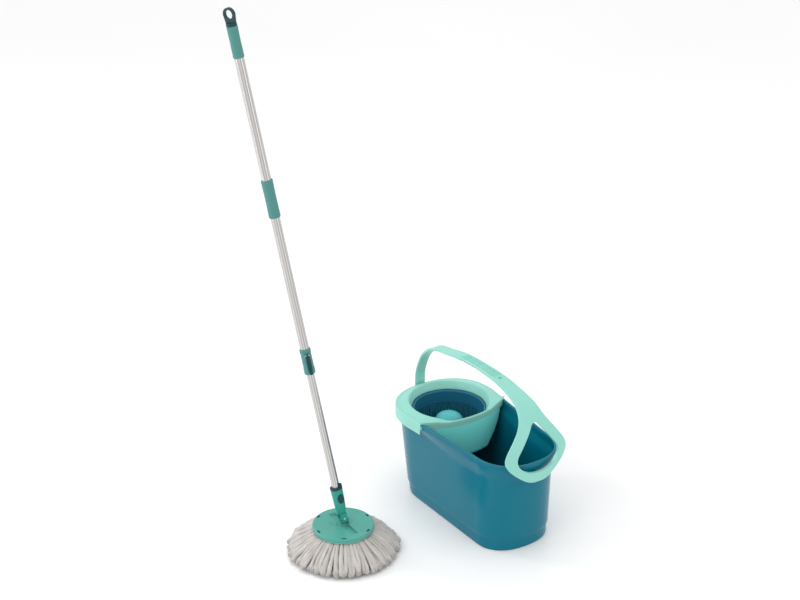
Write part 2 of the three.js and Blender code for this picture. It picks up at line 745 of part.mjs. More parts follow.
function upperHandle() {
  const sleeve = tube(HOUSING.from + 1.5, HOUSING.from + 8.5, 11.7, 9.8);
  const lever = piece("lock_lever", lockLever(), DARK_TEAL);
  const leverPin = solid(alongY(rod(-8, 8, 1.5)).translate(LEVER_PIVOT_X, 0, LEVER_PIVOT_S));
  const pipe = ({ from, to, r }) => tube(from, to, r, r - 1);
  return group(
    piece("bearing_sleeve", sleeve, BRASS),
    piece("lock_housing", lockHousing(), SEA_GREEN),
    lever,
    piece("lever_pin", leverPin.rotate([0, 0, LOCK_TURN]), STEEL),
    piece("clamp_shoe", clampShoe(), DARK_TEAL),
    piece("middle_tube", pipe(MIDDLE_TUBE), ALUMINIUM),
    piece("middle_grip", middleGrip(), SEA_GREEN),
    piece("tube_connector", tube(CONNECTOR.from, CONNECTOR.to, 9.7, 8.5), DARK_TEAL),
    piece("upper_tube", pipe(UPPER_TUBE), ALUMINIUM),
    piece("upper_grip", upperGrip(), SEA_GREEN),
    piece("hanging_eye", hangingEye(), DARK_TEAL),
    piece("drive_spindle", driveSpindle(), STEEL),
    piece("spindle_anchor", spindleAnchor(), BRASS),
  );
}

function mop() {
  const stem = group(lowerStem(), upperHandle());
  stem.position.z = TILT_RISE;
  stem.rotation.x = TILT_LEAN;
  const folding = group(piece("joint_block", jointBlock(), SOCKET_GREEN), stem);
  folding.position.z = FOLD_Z;
  folding.rotation.y = FOLD_LEAN;
  const whole = group(mopHead(), folding);
  whole.position.set(MOP_X, MOP_Y, 0);
  return whole;
}

// ---------- the set ----------

const spinMop = group(bucket(), mop());
const extent = new THREE.Box3().setFromObject(spinMop, true);
const centre = extent.getCenter(new THREE.Vector3());
spinMop.position.set(-centre.x, -centre.y, -extent.min.z);

export default spinMop;
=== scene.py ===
"""Spin mop and its wringing bucket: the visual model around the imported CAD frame.

The bucket is drawn in millimetres about the axle of its spin basket, and the
mop about the middle of its head or about its stem. Both places come from the
frame, and every length turns into metres when its mesh is made.
"""

import json
import math

import bmesh
import bpy
import numpy as np
from mathutils import Matrix, Vector


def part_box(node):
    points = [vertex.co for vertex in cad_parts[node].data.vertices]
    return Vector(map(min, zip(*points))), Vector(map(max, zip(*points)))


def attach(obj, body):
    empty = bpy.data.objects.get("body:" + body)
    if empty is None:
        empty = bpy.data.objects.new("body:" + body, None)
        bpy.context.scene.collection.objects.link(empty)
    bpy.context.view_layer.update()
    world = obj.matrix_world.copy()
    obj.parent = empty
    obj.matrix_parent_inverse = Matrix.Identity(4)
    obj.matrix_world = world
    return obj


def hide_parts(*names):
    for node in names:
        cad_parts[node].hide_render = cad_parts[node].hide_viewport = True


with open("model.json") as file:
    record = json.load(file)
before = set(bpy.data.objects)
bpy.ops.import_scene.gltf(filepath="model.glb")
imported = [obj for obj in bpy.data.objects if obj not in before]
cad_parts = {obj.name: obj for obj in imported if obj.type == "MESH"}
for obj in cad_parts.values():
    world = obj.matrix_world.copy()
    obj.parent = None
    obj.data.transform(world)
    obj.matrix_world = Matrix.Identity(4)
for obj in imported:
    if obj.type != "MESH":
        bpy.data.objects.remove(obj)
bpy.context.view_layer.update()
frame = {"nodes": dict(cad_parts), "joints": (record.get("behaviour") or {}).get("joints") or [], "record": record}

MM = 0.001
rng = np.random.default_rng(41)

# ---------- driving dimensions, mm ----------

WALL = 2.4
TUB_TOP = 251.0
NEAR_X = 265.0  # where the pouring end's curve starts
END_POWER = 2.3  # superellipse power of both ends
BASE = np.array([85.0, 105.0, 101.0, 81.0])  # far depth, far half, near half, near depth
SHOULDER = np.array([117.0, 123.0, 102.0, 93.0])
RIM = np.array([124.0, 133.0, 109.0, 104.0])
SHOULDER_Z = 222.0
FOOT_Z = 34.0

DECK_Z = 254.0
CREST_Z = 258.0
CREST_R = 105.0
OPENING_R = 95.5
OPENING_Z = 240.0
SKIRT_Z = 221.0
SKIRT_OUT = 3.0
APRON_X = 100.0
APRON_R = 235.0
BOWL_Z = 136.0

BASKET_R = 93.0
BASKET_TOP_Z = 237.4
BASKET_FLOOR_Z = 150.0
BASKET_SLOTS = 72
DOME_R = 37.0
DOME_TOP_Z = 219.0

PIVOT_Z = 213.0
REAR_LEG_X = -135.6
FRONT_BAR_X = 379.0
HANDLE_BOW = 0.0015

DISC_R = 76.0
DISC_BOTTOM_Z = 65.3
DISC_TOP_Z = 75.0
CLIP_COUNT = 6
CLIP_R = 69.4
TRENCH_HALF = 9.0
FOLD_Z = 81.0

SOCKET_TOP = 80.5
BUTTON_S = 57.0
BUTTON_HALF = (8.2, 12.6)
LOWER_TUBE = (24.5, 646.0, 9.4)
MIDDLE_TUBE = (418.0, 846.0, 11.0)
UPPER_TUBE = (846.6, 1234.0, 11.0)
HOUSING = (391.0, 456.0, 13.5)
MIDDLE_GRIP = (786.0, 877.0, 14.0)
UPPER_GRIP = (1164.0, 1236.0, 13.0)
EYE_S = 1262.7
EYE_R = 15.2
EYE_HOLE_R = 10.5
EYE_TURN = 24.0  # degrees about the stem
LOCK_TURN = -17.0
PIVOT_X = 15.8  # the lock lever turns about this point of the stem
PIVOT_S = 442.0


# ---------- places from the frame ----------

def centre_of(node):
    low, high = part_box(node)
    return (low + high) / 2


def joint(name):
    return next(j for j in frame["joints"] if j["name"] == name)


def at(node):
    """Frame standing on the floor under the middle of a node."""
    middle = centre_of(node)
    return Matrix.Translation((middle.x, middle.y, 0.0))


def stem_frame():
    """Frame of the mop's stem: origin on the upper pin, +Z up the tube, +X at the button."""
    up = -Vector(joint("drive_pump")["axis"])
    front = -Vector(joint("button_press")["axis"])
    side = up.cross(front)
    turn = Matrix((front, side, up)).transposed().to_4x4()
    return Matrix.Translation(Vector(joint("head_tilt")["pos_m"])) @ turn


BUCKET = at("basket_axle")
HEAD = at("head_disc")
STEM = stem_frame()
LOCK = STEM @ Matrix.Rotation(math.radians(LOCK_TURN), 4, "Z")
EYE = STEM @ Matrix.Rotation(math.radians(EYE_TURN), 4, "Z")
WORLD = Matrix.Identity(4)


# ---------- meshes ----------

def piece(name, points, faces, body, place, *replaced, smooth=True, weld=True):
    """A mesh from points in mm, standing in `place`, riding on `body`."""
    mesh = bpy.data.meshes.new(name)
    mesh.from_pydata([tuple(p) for p in np.asarray(points, float) * MM], [], faces)
    mesh.validate()
    obj = bpy.data.objects.new(name, mesh)
    bpy.context.scene.collection.objects.link(obj)
    recalculate(obj, weld)
    if smooth:
        mesh.shade_smooth()
    obj.matrix_world = place
    if body:
        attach(obj, body)
    if replaced:
        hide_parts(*replaced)
    return obj


def recalculate(obj, weld):
    """Turns all faces outwards. Welding joins points that share a place."""
    work = bmesh.new()
    work.from_mesh(obj.data)
    if weld:
        bmesh.ops.remove_doubles(work, verts=work.verts, dist=1e-6)
    bmesh.ops.recalc_face_normals(work, faces=work.faces)
    work.to_mesh(obj.data)
    work.free()


def joined(*parts):
    """One list of points and faces from several."""
    points, faces = [], []
    for more_points, more_faces in parts:
        start = len(points)
        points.extend([tuple(p) for p in more_points])
        faces.extend([tuple(i + start for i in face) for face in more_faces])
    return points, faces


def moved(part, offset=(0, 0, 0), turn=None):
    points = np.asarray(part[0], float)
    if turn is not None:
        points = points @ np.array(turn.to_3x3()).T
    return points + np.array(offset), part[1]


def rings_to_part(rings, closed=False, caps=True):
    """Skins rings of equal count; `closed` joins the last ring to the first."""
    rings = [np.asarray(r, float) for r in rings]
    count = len(rings[0])
    points = [tuple(p) for ring in rings for p in ring]
    faces = []
    rows = len(rings) if closed else len(rings) - 1
    for row in range(rows):
        low = row * count
        high = ((row + 1) % len(rings)) * count
        for i in range(count):
            j = (i + 1) % count
            faces.append((low + i, low + j, high + j, high + i))
    if caps and not closed:
        for start, ring in ((0, rings[0]), ((len(rings) - 1) * count, rings[-1])):
            middle = len(points)
            points.append(tuple(ring.mean(0)))
            faces.extend((start + i, start + (i + 1) % count, middle) for i in range(count))
    return points, faces


def lathe(profile, segments=96, closed=True):
    """Turns an [r, z] outline about +Z. A closed outline makes a tube."""
    angles = np.linspace(0, 2 * np.pi, segments, endpoint=False)
    rings = [np.column_stack([r * np.cos(angles), r * np.sin(angles), np.full(segments, z)])
             for r, z in profile]
    return rings_to_part(rings, closed=closed, caps=False)


def fillet(points, radius, steps=4, closed=True):
    """Rounds the corners of an outline in 2-D. `radius` is one number or one per point."""
    points = [np.asarray(p, float) for p in points]
    count = len(points)
    radii = [radius] * count if np.isscalar(radius) else list(radius)
    out = []
    for i, p in enumerate(points):
        if not closed and i in (0, count - 1) or radii[i] <= 0:
            out.append(p)
            continue
        a, b = points[i - 1] - p, points[(i + 1) % count] - p
        la, lb = np.linalg.norm(a), np.linalg.norm(b)
        reach = min(radii[i], 0.45 * la, 0.45 * lb)
        start, end = p + a / la * reach, p + b / lb * reach
        for k in range(steps + 1):
            t = k / steps
            out.append((1 - t) ** 2 * start + 2 * t * (1 - t) * p + t * t * end)
    return out


def block(x0, x1, y0, y1, z0, z1):
    points = [(x, y, z) for x in (x0, x1) for y in (y0, y1) for z in (z0, z1)]
    faces = [(0, 1, 3, 2), (4, 6, 7, 5), (0, 4, 5, 1), (2, 3, 7, 6), (0, 2, 6, 4), (1, 5, 7, 3)]
    return points, faces


def baked(obj):
    """Applies the modifiers of an object to its mesh."""
    bpy.context.view_layer.update()
    graph = bpy.context.evaluated_depsgraph_get()
    mesh = bpy.data.meshes.new_from_object(obj.evaluated_get(graph))
    obj.modifiers.clear()
    obj.data = mesh
    return obj


def combine(obj, part, operation):
    """Joins a closed part to a piece or cuts it out, in the piece's own place."""
    tool = piece("tool", *part, None, obj.matrix_world.copy(), smooth=False)
    step = obj.modifiers.new("combine", "BOOLEAN")
    step.operation = operation
    step.solver = "EXACT"
    step.object = tool
    baked(obj)
    bpy.data.objects.remove(tool)
    return obj


def soften(obj, width, angle=35, segments=3):
    """Rounds the piece's hard edges and shades it smooth."""
    edge = obj.modifiers.new("edges", "BEVEL")
    edge.width = width * MM
    edge.segments = segments
    edge.limit_method = "ANGLE"
    edge.angle_limit = math.radians(angle)
    edge.use_clamp_overlap = True
    baked(obj)
    obj.data.shade_smooth()
    tidy = obj.modifiers.new("shading", "WEIGHTED_NORMAL")
    tidy.keep_sharp = True
    return baked(obj)


def smoothstep(x, low, high):
    t = np.clip((np.asarray(x, float) - low) / (high - low), 0, 1)
    return t * t * (3 - 2 * t)


def catmull(rows, per_span):
    """Smooth curve through rows of numbers."""
    rows = np.asarray(rows, float)
    padded = np.vstack([2 * rows[0] - rows[1], rows, 2 * rows[-1] - rows[-2]])
    out = []
    for i in range(1, len(padded) - 2):
        a, b, c, d = padded[i - 1:i + 3]
        for t in np.linspace(0, 1, per_span, endpoint=False):
            out.append(0.5 * (2 * b + (c - a) * t + (2 * a - 5 * b + 4 * c - d) * t * t
                              + (3 * b - 3 * c + d - a) * t ** 3))
    out.append(rows[-1])
    return np.array(out)


# ---------- materials ----------

def material(name, metallic=0.0):
    """An empty principled material, its node tree and its shader."""
    made = bpy.data.materials.new(name)
    made.use_nodes = True
    tree = made.node_tree
    shader = tree.nodes["Principled BSDF"]
    shader.inputs["Metallic"].default_value = metallic
    return made, tree, shader


def object_noise(tree, scale, stretch=(1, 1, 1), detail=3.0):
    """Noise in the object's own space, so that it rides with the piece."""
    place = tree.nodes.new("ShaderNodeTexCoord")
    mapping = tree.nodes.new("ShaderNodeMapping")
    mapping.inputs["Scale"].default_value = stretch
    noise = tree.nodes.new("ShaderNodeTexNoise")
    noise.inputs["Scale"].default_value = scale
    noise.inputs["Detail"].default_value = detail
    tree.links.new(place.outputs["Object"], mapping.inputs["Vector"])
    tree.links.new(mapping.outputs["Vector"], noise.inputs["Vector"])
    return noise.outputs["Fac"]


def ramp(tree, value, stops):
    """Colour ramp over a value. `stops` are (position, colour) pairs."""
    node = tree.nodes.new("ShaderNodeValToRGB")
    elements = node.color_ramp.elements
    while len(elements) < len(stops):
        elements.new(0.5)
    for element, (position, colour) in zip(elements, stops):
        element.position = position
        element.color = (*colour, 1)
    tree.links.new(value, node.inputs["Fac"])
    return node.outputs["Color"]


def spread(tree, value, low, high):
    """Maps a 0..1 value to low..high."""
    node = tree.nodes.new("ShaderNodeMapRange")
    node.inputs["To Min"].default_value = low
    node.inputs["To Max"].default_value = high
    tree.links.new(value, node.inputs["Value"])
    return node.outputs["Result"]


def bump(tree, height, distance, strength=1.0, after=None):
    node = tree.nodes.new("ShaderNodeBump")
    node.inputs["Distance"].default_value = distance
    node.inputs["Strength"].default_value = strength
    tree.links.new(height, node.inputs["Height"])
    if after:
        tree.links.new(after, node.inputs["Normal"])
    return node.outputs["Normal"]


def srgb(red, green, blue):
    """Linear colour from the 0..255 values that a paint chart gives."""
    channels = np.array([red, green, blue]) / 255
    return tuple(np.where(channels <= 0.04045, channels / 12.92,
                          ((channels + 0.055) / 1.055) ** 2.4))


def scaled(colour, factor):
    return tuple(min(1.0, c * factor) for c in colour)


def plastic(name, colour, rough=0.3, grain=0.4, mottle=0.03, sheer=0.3):
    """Moulded plastic: cloudy pigment, fine mould grain and scuffed gloss."""
    made, tree, shader = material(name)
    cloud = object_noise(tree, 9, detail=4)
    tint = ramp(tree, cloud, [(0.3, scaled(colour, 1 - mottle)), (0.7, scaled(colour, 1 + mottle))])
    tree.links.new(tint, shader.inputs["Base Color"])
    scuffs = object_noise(tree, 40, detail=5)
    tree.links.new(spread(tree, scuffs, rough - 0.03, rough + 0.05), shader.inputs["Roughness"])
    fine = object_noise(tree, 1500, detail=2)
    tree.links.new(bump(tree, fine, 0.00002, grain), shader.inputs["Normal"])
    shader.inputs["Specular IOR Level"].default_value = sheer
    return made


def multiplied(tree, first, second):
    """Product of two colours."""
    mix = tree.nodes.new("ShaderNodeMix")
    mix.data_type = "RGBA"
    mix.blend_type = "MULTIPLY"
    mix.inputs["Factor"].default_value = 1.0
    tree.links.new(first, mix.inputs["A"])
    tree.links.new(second, mix.inputs["B"])
    return mix.outputs["Result"]


def attribute(tree, name):
    node = tree.nodes.new("ShaderNodeAttribute")
    node.attribute_name = name
    return node.outputs["Color"]


def metal(name, colour, rough, stretch=(1, 1, 1), streaks=0.06, tone=None):
    """Drawn or turned metal with streaks along its length; `tone` names a colour attribute of painted shade that
    darkens it.
    """
    made, tree, shader = material(name, metallic=1.0)
    drawn = object_noise(tree, 160, stretch=stretch, detail=5)
    tint = ramp(tree, drawn, [(0.25, scaled(colour, 1 - streaks)), (0.75, scaled(colour, 1 + streaks))])
    if tone:
        tint = multiplied(tree, tint, attribute(tree, tone))
    tree.links.new(tint, shader.inputs["Base Color"])
    tree.links.new(spread(tree, drawn, rough - 0.06, rough + 0.1), shader.inputs["Roughness"])
    tree.links.new(bump(tree, drawn, 0.00002, 0.6), shader.inputs["Normal"])
    return made


def yarn_material():
    """Twisted microfibre yarn, each rope with its own tone, darker at its end, with painted shade near the head
    and on the core.
    """
    made, tree, shader = material("yarn")
    fuzz = object_noise(tree, 420, detail=6)
    fibre = ramp(tree, fuzz, [(0.3, (0.82, 0.80, 0.78)), (0.65, (1.0, 1.0, 1.0))])
    tree.links.new(multiplied(tree, attribute(tree, "rope_tone_and_shade"), fibre), shader.inputs["Base Color"])
    coarse = object_noise(tree, 190, detail=4)
    lumps = bump(tree, coarse, 0.0012, 0.8)
    tree.links.new(bump(tree, fuzz, 0.0006, 0.9, lumps), shader.inputs["Normal"])
    shader.inputs["Roughness"].default_value = 0.95
    shader.inputs["Specular IOR Level"].default_value = 0.15
    shader.inputs["Sheen Weight"].default_value = 0.35
    shader.inputs["Sheen Roughness"].default_value = 0.6
    return made


MATERIALS = {
    "tub_plastic": plastic("tub_plastic", srgb(2, 108, 128), rough=0.17, mottle=0.02, sheer=0.2),
    "mint_plastic": plastic("mint_plastic", srgb(140, 205, 192), rough=0.34, mottle=0.03),
    "basket_plastic": plastic("basket_plastic", srgb(32, 104, 132), rough=0.36),
    "dome_plastic": plastic("dome_plastic", srgb(82, 180, 184), rough=0.36, mottle=0.03),
    "grip_plastic": plastic("grip_plastic", srgb(76, 135, 130), rough=0.5, grain=1.0),
    "disc_plastic": plastic("disc_plastic", srgb(78, 158, 146), rough=0.38, mottle=0.04),
    "socket_plastic": plastic("socket_plastic", srgb(40, 146, 132), rough=0.36, mottle=0.04),
    "dark_plastic": plastic("dark_plastic", srgb(10, 60, 66), rough=0.42, grain=0.9),
    # painted shade: a darker, duller copy of the dark plastic for the hooks, which sit in the shade of the disc's
    # slots
    "hook_plastic": plastic("hook_plastic", srgb(6, 42, 46), rough=0.6, sheer=0.1),
    # painted light: the bowl is the insert's own mint plastic, coloured lighter here to lift the shade inside the
    # cavity
    "bowl_plastic": plastic("bowl_plastic", srgb(130, 240, 232), rough=0.34, sheer=0.35),
    "steel": metal("steel", (0.75, 0.75, 0.74), 0.24),
    # painted shade: the tube material darkens its flutes by the groove attribute
    "aluminium_tube": metal("aluminium_tube", (0.60, 0.585, 0.57), 0.26, stretch=(6, 6, 0.05),
                            tone="groove_shade"),
    "strands": yarn_material(),
    "bearing_brass": metal("bearing_brass", (0.72, 0.53, 0.24), 0.3, streaks=0.1),
}


def finish(obj, look):
    """Gives a piece its look."""
    obj.data.materials.clear()
    obj.data.materials.append(MATERIALS[look])
    return obj


def finish_cad_nodes():
    """Every CAD node that still shows takes the finish of its slot."""
    for row in frame["record"]["subparts"]:
        node = frame["nodes"][row["node"]]
        if node.hide_render:
            continue
        made = MATERIALS[row["material_slot"]]
        for holder in node.material_slots:
            holder.material = made


# ---------- bucket ----------

def mixed_plan(z):
    return BASE + (SHOULDER - BASE) * np.clip(z / SHOULDER_Z, 0, 1)


def end_curve(x, depth, half, angles):
    power = 2 / END_POWER
    along = np.sign(np.cos(angles)) * np.abs(np.cos(angles)) ** power
    across = np.sign(np.sin(angles)) * np.abs(np.sin(angles)) ** power
    return np.column_stack([x + depth * along, half * across])


def plan(size, inset=0.0, steps=56, side=20):
    """Plan outline of the bucket, anticlockwise from above, evenly enough for a fine mesh."""
    size = np.asarray(size, float) - inset
    far_depth, far_half, near_half, near_depth = size
    ease = np.linspace(-1, 1, steps)
    swing = np.pi / 2 * np.sign(ease) * np.abs(ease) ** 1.25
    near = end_curve(NEAR_X, near_depth, near_half, swing)
    far = end_curve(0.0, far_depth, far_half, swing + np.pi)
    t = np.linspace(0, 1, side + 2)[1:-1, None]
    left = near[-1] * (1 - t) + far[0] * t
    right = far[-1] * (1 - t) + near[0] * t
    return np.vstack([near, left, far, right])


def ring_at(outline, z):
    z = np.broadcast_to(z, len(outline))
    return np.column_stack([outline, z])


def tub_wall_ring(z, inset, flare=True):
    """Wall at one height. The rim's flare starts lower towards the pouring end."""
    wall = plan(mixed_plan(z), inset)
    if not flare:
        return ring_at(wall, z)
    rim = plan(RIM, inset)
    start = SHOULDER_Z - 4 - 22 * smoothstep(wall[:, 0], 20, 190)
    share = smoothstep(z, start, TUB_TOP - 9)[:, None]
    return ring_at(wall * (1 - share) + rim * share, z)


def tub():
    rings = [ring_at(plan(BASE, 9), 1.2), ring_at(plan(BASE, 6), 0), ring_at(plan(BASE, 4.2), 0.5),
             ring_at(plan(BASE, 3), 2), ring_at(plan(BASE, 2.5), 5)]
    for z in np.linspace(8, FOOT_Z - 3, 6):
        rings.append(ring_at(plan(mixed_plan(z), 2.5), z))
    for z, inset in ((FOOT_Z - 1.6, 2.2), (FOOT_Z - 0.6, 1.2), (FOOT_Z + 0.6, 0.3), (FOOT_Z + 2, 0)):
        rings.append(ring_at(plan(mixed_plan(z), inset), z))
    for z in np.linspace(FOOT_Z + 8, SHOULDER_Z - 34, 14):
        rings.append(tub_wall_ring(z, 0, flare=False))
    for z in np.linspace(SHOULDER_Z - 30, TUB_TOP - 9, 18):
        rings.append(tub_wall_ring(z, 0))
    lip = fillet([(0, TUB_TOP - 9), (0.7, TUB_TOP - 7.4), (-2.2, TUB_TOP - 6.2), (-2.4, TUB_TOP - 0.2),
                  (4.8, TUB_TOP), (5, TUB_TOP - 9)], [0, 0.8, 1, 2.6, 1.6, 0], closed=False)
    rings += [ring_at(plan(RIM, inset), z) for inset, z in lip]
    for z in np.linspace(TUB_TOP - 11, SHOULDER_Z - 30, 16):
        inset = 5 - (5 - WALL) * smoothstep(TUB_TOP - z, 10, 24)
        rings.append(tub_wall_ring(z, inset))
    for z in np.linspace(SHOULDER_Z - 36, 16, 12):
        rings.append(tub_wall_ring(z, WALL + 2.5 * (z < FOOT_Z), flare=False))
    for inset, z in ((6, 9), (9, 5), (14, 3.2), (22, 3)):
        rings.append(ring_at(plan(BASE, inset), z))
    tub_obj = piece("tub", *rings_to_part(rings), "bucket", BUCKET, "bucket_tub")
    finish(tub_obj, "tub_plastic")
    tub_obj.data.set_sharp_from_angle(angle=math.radians(50))
    for name, start, end in (("rear_boss", -114, REAR_LEG_X + 3), ("front_boss", 356, FRONT_BAR_X - 5)):
        boss(name, start, end)


def boss(name, start, end):
    """Blind socket for a swing pin, standing out of the tub's wall."""
    sign = 1 if end > start else -1
    length = abs(end - start)
    profile = [(0, 0), (9.5, 0), (7.5, 5), (7.5, length), (3.8, length), (3.8, length - 8), (0, length - 8)]
    part = lathe(fillet(profile, [0, 0, 3, 1, 0.6, 0, 0], closed=False), 48, closed=False)
    turn = Matrix.Rotation(sign * math.pi / 2, 4, "Y")
    made = piece(name, *moved(part, (start, 0, PIVOT_Z), turn), "bucket", BUCKET)
    finish(made, "tub_plastic")


def polar_reach(outline, angles):
    """Distance from the axle to a closed outline in each direction."""
    bearing = np.arctan2(outline[:, 1], outline[:, 0])
    order = np.argsort(bearing)
    reach = np.hypot(outline[:, 0], outline[:, 1])[order]
    bearing = bearing[order]
    return np.interp(angles, bearing, reach, period=2 * np.pi)


def apron_reach(angles, inset=0.0):
    """Distance from the axle to the deck's curved front edge; far away behind it."""
    radius = APRON_R - inset
    middle = APRON_X - APRON_R
    c, s = np.cos(angles), np.sin(angles)
    inside = np.maximum(radius ** 2 - (middle * s) ** 2, 0)
    reach = middle * c + np.sqrt(inside)
    return np.where((np.abs(middle * s) < radius) & (c > 0.05), reach, 1e4)


def soft_min(a, b, blend):
    """Smaller of two lengths, with the corner between them rounded."""
    share = np.clip(0.5 + 0.5 * (b - a) / blend, 0, 1)
    return b * (1 - share) + a * share - blend * share * (1 - share)


def corner_angles():
    """Directions of the two corners where the front edge meets the rim."""
    angles = np.linspace(0, np.pi / 2, 4000)
    gap = apron_reach(angles) - polar_reach(plan(RIM, -SKIRT_OUT), angles)
    return angles[np.argmax(gap > 0)]


def deck_angles():
    """Even directions plus a close pair at each corner, for a crisp skirt end."""
    corner = corner_angles()
    even = np.linspace(-np.pi, np.pi, 260, endpoint=False)
    close = [s * (corner + d) for s in (-1, 1) for d in (-0.012, -0.004, -0.0006, 0.0006, 0.004, 0.012)]
    kept = [a for a in even if min(abs(abs(a) - corner), 1) > 0.02]
    return np.array(sorted(kept + close)), corner


def deck():
    """Lid of the insert: funnel into the basket, raised lip, deck and outer skirt."""
    angles, corner = deck_angles()
    front = np.abs(angles) < corner
    outer = np.where(front, apron_reach(angles), polar_reach(plan(RIM, -SKIRT_OUT), angles))
    crest = np.minimum(CREST_R, outer - 3.2)
    lip_z = CREST_Z - 5.5 * smoothstep(outer - crest, 22, 3)
    lip_z = np.where(front, np.maximum(lip_z, DECK_Z - 0.5), CREST_Z)
    edge_z = np.where(front, lip_z - 1.2, DECK_Z - 3 * smoothstep(outer - crest, 4, 24))
    bottom = np.where(front, OPENING_Z - 4, SKIRT_Z)
    thick = np.where(front, 2.2, 2.6)
    c, s = np.cos(angles), np.sin(angles)

    def ring(radius, z):
        radius = np.broadcast_to(radius, len(angles))
        return np.column_stack([radius * c, radius * s, np.broadcast_to(z, len(angles))])

    rings = [ring(OPENING_R + 1.8, OPENING_Z - 2.2), ring(OPENING_R + 0.4, OPENING_Z - 2.4),
             ring(OPENING_R, OPENING_Z - 1.4), ring(OPENING_R + 0.1, OPENING_Z + 0.2)]
    for t in np.linspace(0.08, 1, 12):
        bulge = 1.2 * math.sin(math.pi * t)
        radius = OPENING_R + (crest - OPENING_R) * t ** 1.15 + bulge * 0.4
        height = OPENING_Z + (lip_z - OPENING_Z) * (1 - (1 - t) ** 1.35)
        rings.append(ring(radius, height))
    span = outer - crest
    for t in (0.06, 0.14, 0.25, 0.4, 0.6, 0.8):
        fall = smoothstep(t, 0, 0.9)
        rings.append(ring(crest + (span - 3) * t, lip_z + (edge_z - lip_z) * fall))
    for k in range(7):
        a = math.pi / 2 * k / 6
        rings.append(ring(outer - 3 + 3 * math.sin(a), edge_z - 3 + 3 * math.cos(a)))
    for t in (0.3, 0.6, 0.85, 1):
        rings.append(ring(outer + 0.3 * t * ~front, edge_z - 3 + (bottom - edge_z + 4) * t))
    rings += [ring(outer + 0.1, bottom + 0.3), ring(outer - 0.6, bottom), ring(outer - thick + 0.6, bottom),
              ring(outer - thick, bottom + 0.6)]
    under = np.where(front, bottom + 3, TUB_TOP + 0.4)
    rings += [ring(outer - thick, under - 1), ring(outer - thick - 0.6, under),
              ring(np.maximum(crest - 1, OPENING_R + 3), np.where(front, under, TUB_TOP + 0.4)),
              ring(OPENING_R + 2.6, OPENING_Z)]
    made = piece("insert_deck", *rings_to_part(rings, closed=True), "bucket", BUCKET, "wringer_insert")
    made.data.set_sharp_from_angle(angle=math.radians(46))
    finish(made, "mint_plastic")


def bowl():
    """Catch bowl hanging from the deck, with the curved apron as its front wall."""
    angles = np.linspace(-np.pi, np.pi, 300, endpoint=False)
    c, s = np.cos(angles), np.sin(angles)

    def wall(z, inset):
        depth = np.clip((CREST_Z - z) / (CREST_Z - BOWL_Z), 0, 1)
        side = polar_reach(plan(mixed_plan(z), 4.8 + inset), angles)
        facing = np.clip(np.cos(angles), 0, 1)
        side = side - 26 * facing ** 0.6 * depth ** 2.2
        apron = apron_reach(angles, inset + 0.5) - 4 * depth ** 2
        return soft_min(side, apron, 4 + 84 * depth ** 2.4)

    def ring(radius, z):
        return np.column_stack([radius * c, radius * s, np.full(len(angles), z)])

    floor = BOWL_Z + 14
    rings = [ring(np.full(len(angles), 0.5), BOWL_Z), ring(np.full(len(angles), 30.0), BOWL_Z)]
    for k in range(9):
        a = math.pi / 2 * k / 8
        shrink = 1 - 0.17 * (1 - math.sin(a))
        rings.append(ring(wall(floor, 0) * shrink, floor - 14 * math.cos(a)))
    for z in np.linspace(floor + 4, OPENING_Z + 2, 22):
        rings.append(ring(wall(z, 0), z))
    for z in np.linspace(OPENING_Z + 2, floor, 14):
        rings.append(ring(wall(z, WALL), z))
    for k in range(7):
        a = math.pi / 2 * k / 6
        shrink = 1 - 0.17 * (1 - math.cos(a))
        rings.append(ring(wall(floor, WALL) * shrink, floor - (14 - WALL) * math.sin(a)))
    rings.append(ring(np.full(len(angles), 0.5), BOWL_Z + WALL))
    made = piece("insert_bowl", *rings_to_part(rings), "bucket", BUCKET)
    # painted light: a lighter copy of the mint plastic
    finish(made, "bowl_plastic")
    post = lathe(fillet([(0, BOWL_Z + 1), (17, BOWL_Z + 1), (13, BOWL_Z + 4), (13, 147), (4.3, 147),
                         (4.3, BOWL_Z + 5), (0, BOWL_Z + 5)], [0, 0, 2, 1, 0, 0, 0], closed=False),
                 64, closed=False)
    finish(piece("bowl_post", *post, "bucket", BUCKET), "mint_plastic")


def slotted_wall(radius_at, heights, slot_low, slot_high, thickness, slots, per_slot=6):
    """Round wall cut by upright slots, as solid cells between two radii."""
    columns = slots * per_slot
    angles = np.linspace(0, 2 * np.pi, columns, endpoint=False)
    rows = len(heights) - 1
    points, faces = [], []
    for shrink in (0, thickness):
        for z in heights:
            r = radius_at(z) - shrink
            points.extend(zip(r * np.cos(angles), r * np.sin(angles), [z] * columns))
    offset = len(heights) * columns

    def corner(side, row, column):
        return side * offset + row * columns + column % columns

    def open_cell(row, column):
        if row < 0 or row >= rows:
            return True
        middle = (heights[row] + heights[row + 1]) / 2
        return slot_low < middle < slot_high and column % per_slot < per_slot // 3

    for row in range(rows):
        for column in range(columns):
            if open_cell(row, column):
                continue
            for side in (0, 1):
                faces.append((corner(side, row, column), corner(side, row, column + 1),
                              corner(side, row + 1, column + 1), corner(side, row + 1, column)))
            edges = (((row, column), (row, column + 1), (row - 1, column)),
                     ((row + 1, column), (row + 1, column + 1), (row + 1, column)),
                     ((row, column), (row + 1, column), (row, column - 1)),
                     ((row, column + 1), (row + 1, column + 1), (row, column + 1)))
            for a, b, neighbour in edges:
                if open_cell(neighbour[0], neighbour[1] % columns):
                    faces.append((corner(0, *a), corner(0, *b), corner(1, *b), corner(1, *a)))
    return points, faces


